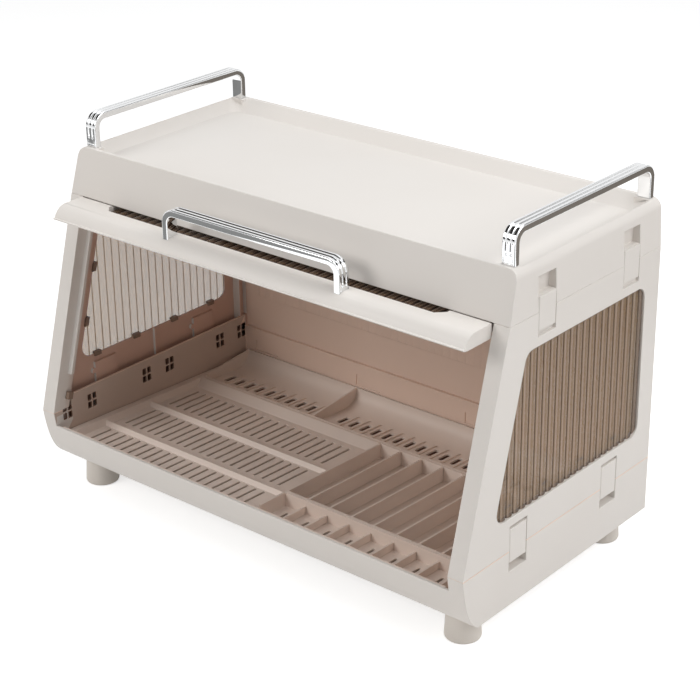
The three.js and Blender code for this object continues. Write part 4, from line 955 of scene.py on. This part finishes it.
def flat_sheet(name, half_x, half_y, turn, place, material):
    form = bmesh.new()
    bmesh.ops.create_grid(form, x_segments=8, y_segments=8, size=1.0)
    spread = Matrix.Diagonal((half_x, half_y, 1.0, 1.0))
    bmesh.ops.transform(form, matrix=Matrix.Translation(place) @ turn @ spread, verts=form.verts)
    mesh = to_mesh(form, name)
    mesh.materials.append(material)
    sheet = bpy.data.objects.new(name, mesh)
    bpy.context.scene.collection.objects.link(sheet)
    return sheet


floor_finish = Finish("studio_floor")
floor_seen = seen_directly(floor_finish.tree)
floor_finish.set("Base Color", floor_finish.blend(floor_seen, FLOOR_BOUNCE, FLOOR_SEEN))
floor_finish.set("Emission Color", floor_finish.blend(floor_seen, NO_GLOW, FLOOR_GLOW))
floor_finish.set("Emission Strength", 1.0)
floor_finish.set("Roughness", MATT)
floor_finish.set("Specular IOR Level", 0.0)
level, origin = Matrix.Identity(4), Vector((0, 0, 0))
flat_sheet("studio_floor", FLOOR_HALF, FLOOR_HALF, level, origin, floor_finish.material)
print("floor", 2 * FLOOR_HALF, "m wide")

# %% [markdown]
# ## Dark cards for the chrome
# Chrome in an all-white room looks like white paint. Photographers stand dark cards just out of
# view, so that the bends and edges of a polished bar mirror a dark band. Here black ones hang
# above and around the cabinet, and a brown, a grey and a black one lie on the floor beside it.
# Only mirror rays see them: they throw no shadow and the camera never sees them.

# %% The cards
WEAVE_SCALE = 30.0


def card_finish(name, tone, thread_tone):
    finish = Finish(name)
    weave = finish.noise(WEAVE_SCALE)
    finish.set("Base Color", finish.blend(weave, tone, thread_tone))
    finish.set("Roughness", MATT)
    return finish.material


def dark_card(name, place, aim, half_x, half_y, material):
    facing = (Vector(aim) - Vector(place)).to_track_quat("Z", "Y").to_matrix().to_4x4()
    card = flat_sheet(name, half_x, half_y, facing, Vector(place), material)
    card.visible_camera = False
    card.visible_diffuse = False
    card.visible_shadow = False
    card.visible_transmission = False
    return card


black_card = card_finish("black_card", (0.02, 0.018, 0.016, 1), (0.035, 0.03, 0.027, 1))
brown_card = card_finish("brown_card", (0.3, 0.26, 0.22, 1), (0.07, 0.06, 0.05, 1))
grey_card = card_finish("grey_card", (0.3, 0.305, 0.3, 1), (0.2, 0.2, 0.2, 1))
TOP_BAR = (0.26, 0.0, 0.38)
CARDS = (
    ("card_over_front", (-0.6, -0.6, 1.5), (-0.6, -0.6, 0), 1.0, 0.78, black_card),
    ("card_far_front", (-1.25, -2.2, 0.6), TOP_BAR, 1.1, 0.24, black_card),
    ("card_far_right", (1.5, 1.65, 0.8), TOP_BAR, 0.6, 0.2, black_card),
    ("card_back_high", (0.72, 1.1, 1.35), (0.1, -0.12, 0.32), 0.4, 0.18, black_card),
    ("card_floor_right", (0.9, 1.0, 0.004), (0.9, 1.0, 1), 0.6, 0.4, brown_card),
    ("card_floor_front", (-0.95, -0.95, 0.004), (-0.95, -0.95, 1), 0.45, 0.4, grey_card),
    ("card_floor_near", (1.1, -0.6, 0.004), (1.1, -0.6, 1), 0.4, 0.35, black_card),
)
print("cards", [dark_card(*card).name for card in CARDS])

# %% [markdown]
# ## The lamps
# A big soft lamp overhead does most of the work, as in the photograph, where the tray is the
# brightest face and the inside is dim. A second lamp stands high at the right and a third high in
# front at the left. Small lamps would draw hard shadows of the handles, so each one is about a
# metre wide or more.

# %% The lamps


def soft_lamp(name, place, aim, size, power, tint):
    data = bpy.data.lights.new(name, "AREA")
    data.shape = "RECTANGLE"
    data.size, data.size_y = size
    data.energy = power
    data.color = tint
    lamp = bpy.data.objects.new(name, data)
    lamp.location = place
    lamp.rotation_euler = (Vector(aim) - Vector(place)).to_track_quat("-Z", "Y").to_euler()
    bpy.context.scene.collection.objects.link(lamp)
    return lamp


LAMPS = (
    ("overhead", (0.1, 0.1, 1.9), (0.05, 0, 0.2), (1.7, 1.5), 14.2, (0.95, 0.98, 1.0)),
    ("right_high", (1.6, 0.35, 1.4), (0.2, 0, 0.25), (1.1, 0.9), 16.7, (1, 1, 1)),
    ("front_left_high", (-0.9, -1.9, 1.35), (0, 0, 0.2), (1.2, 0.9), 19, (1.0, 0.985, 0.965)),
)
print("lamps", [soft_lamp(*lamp).name for lamp in LAMPS])
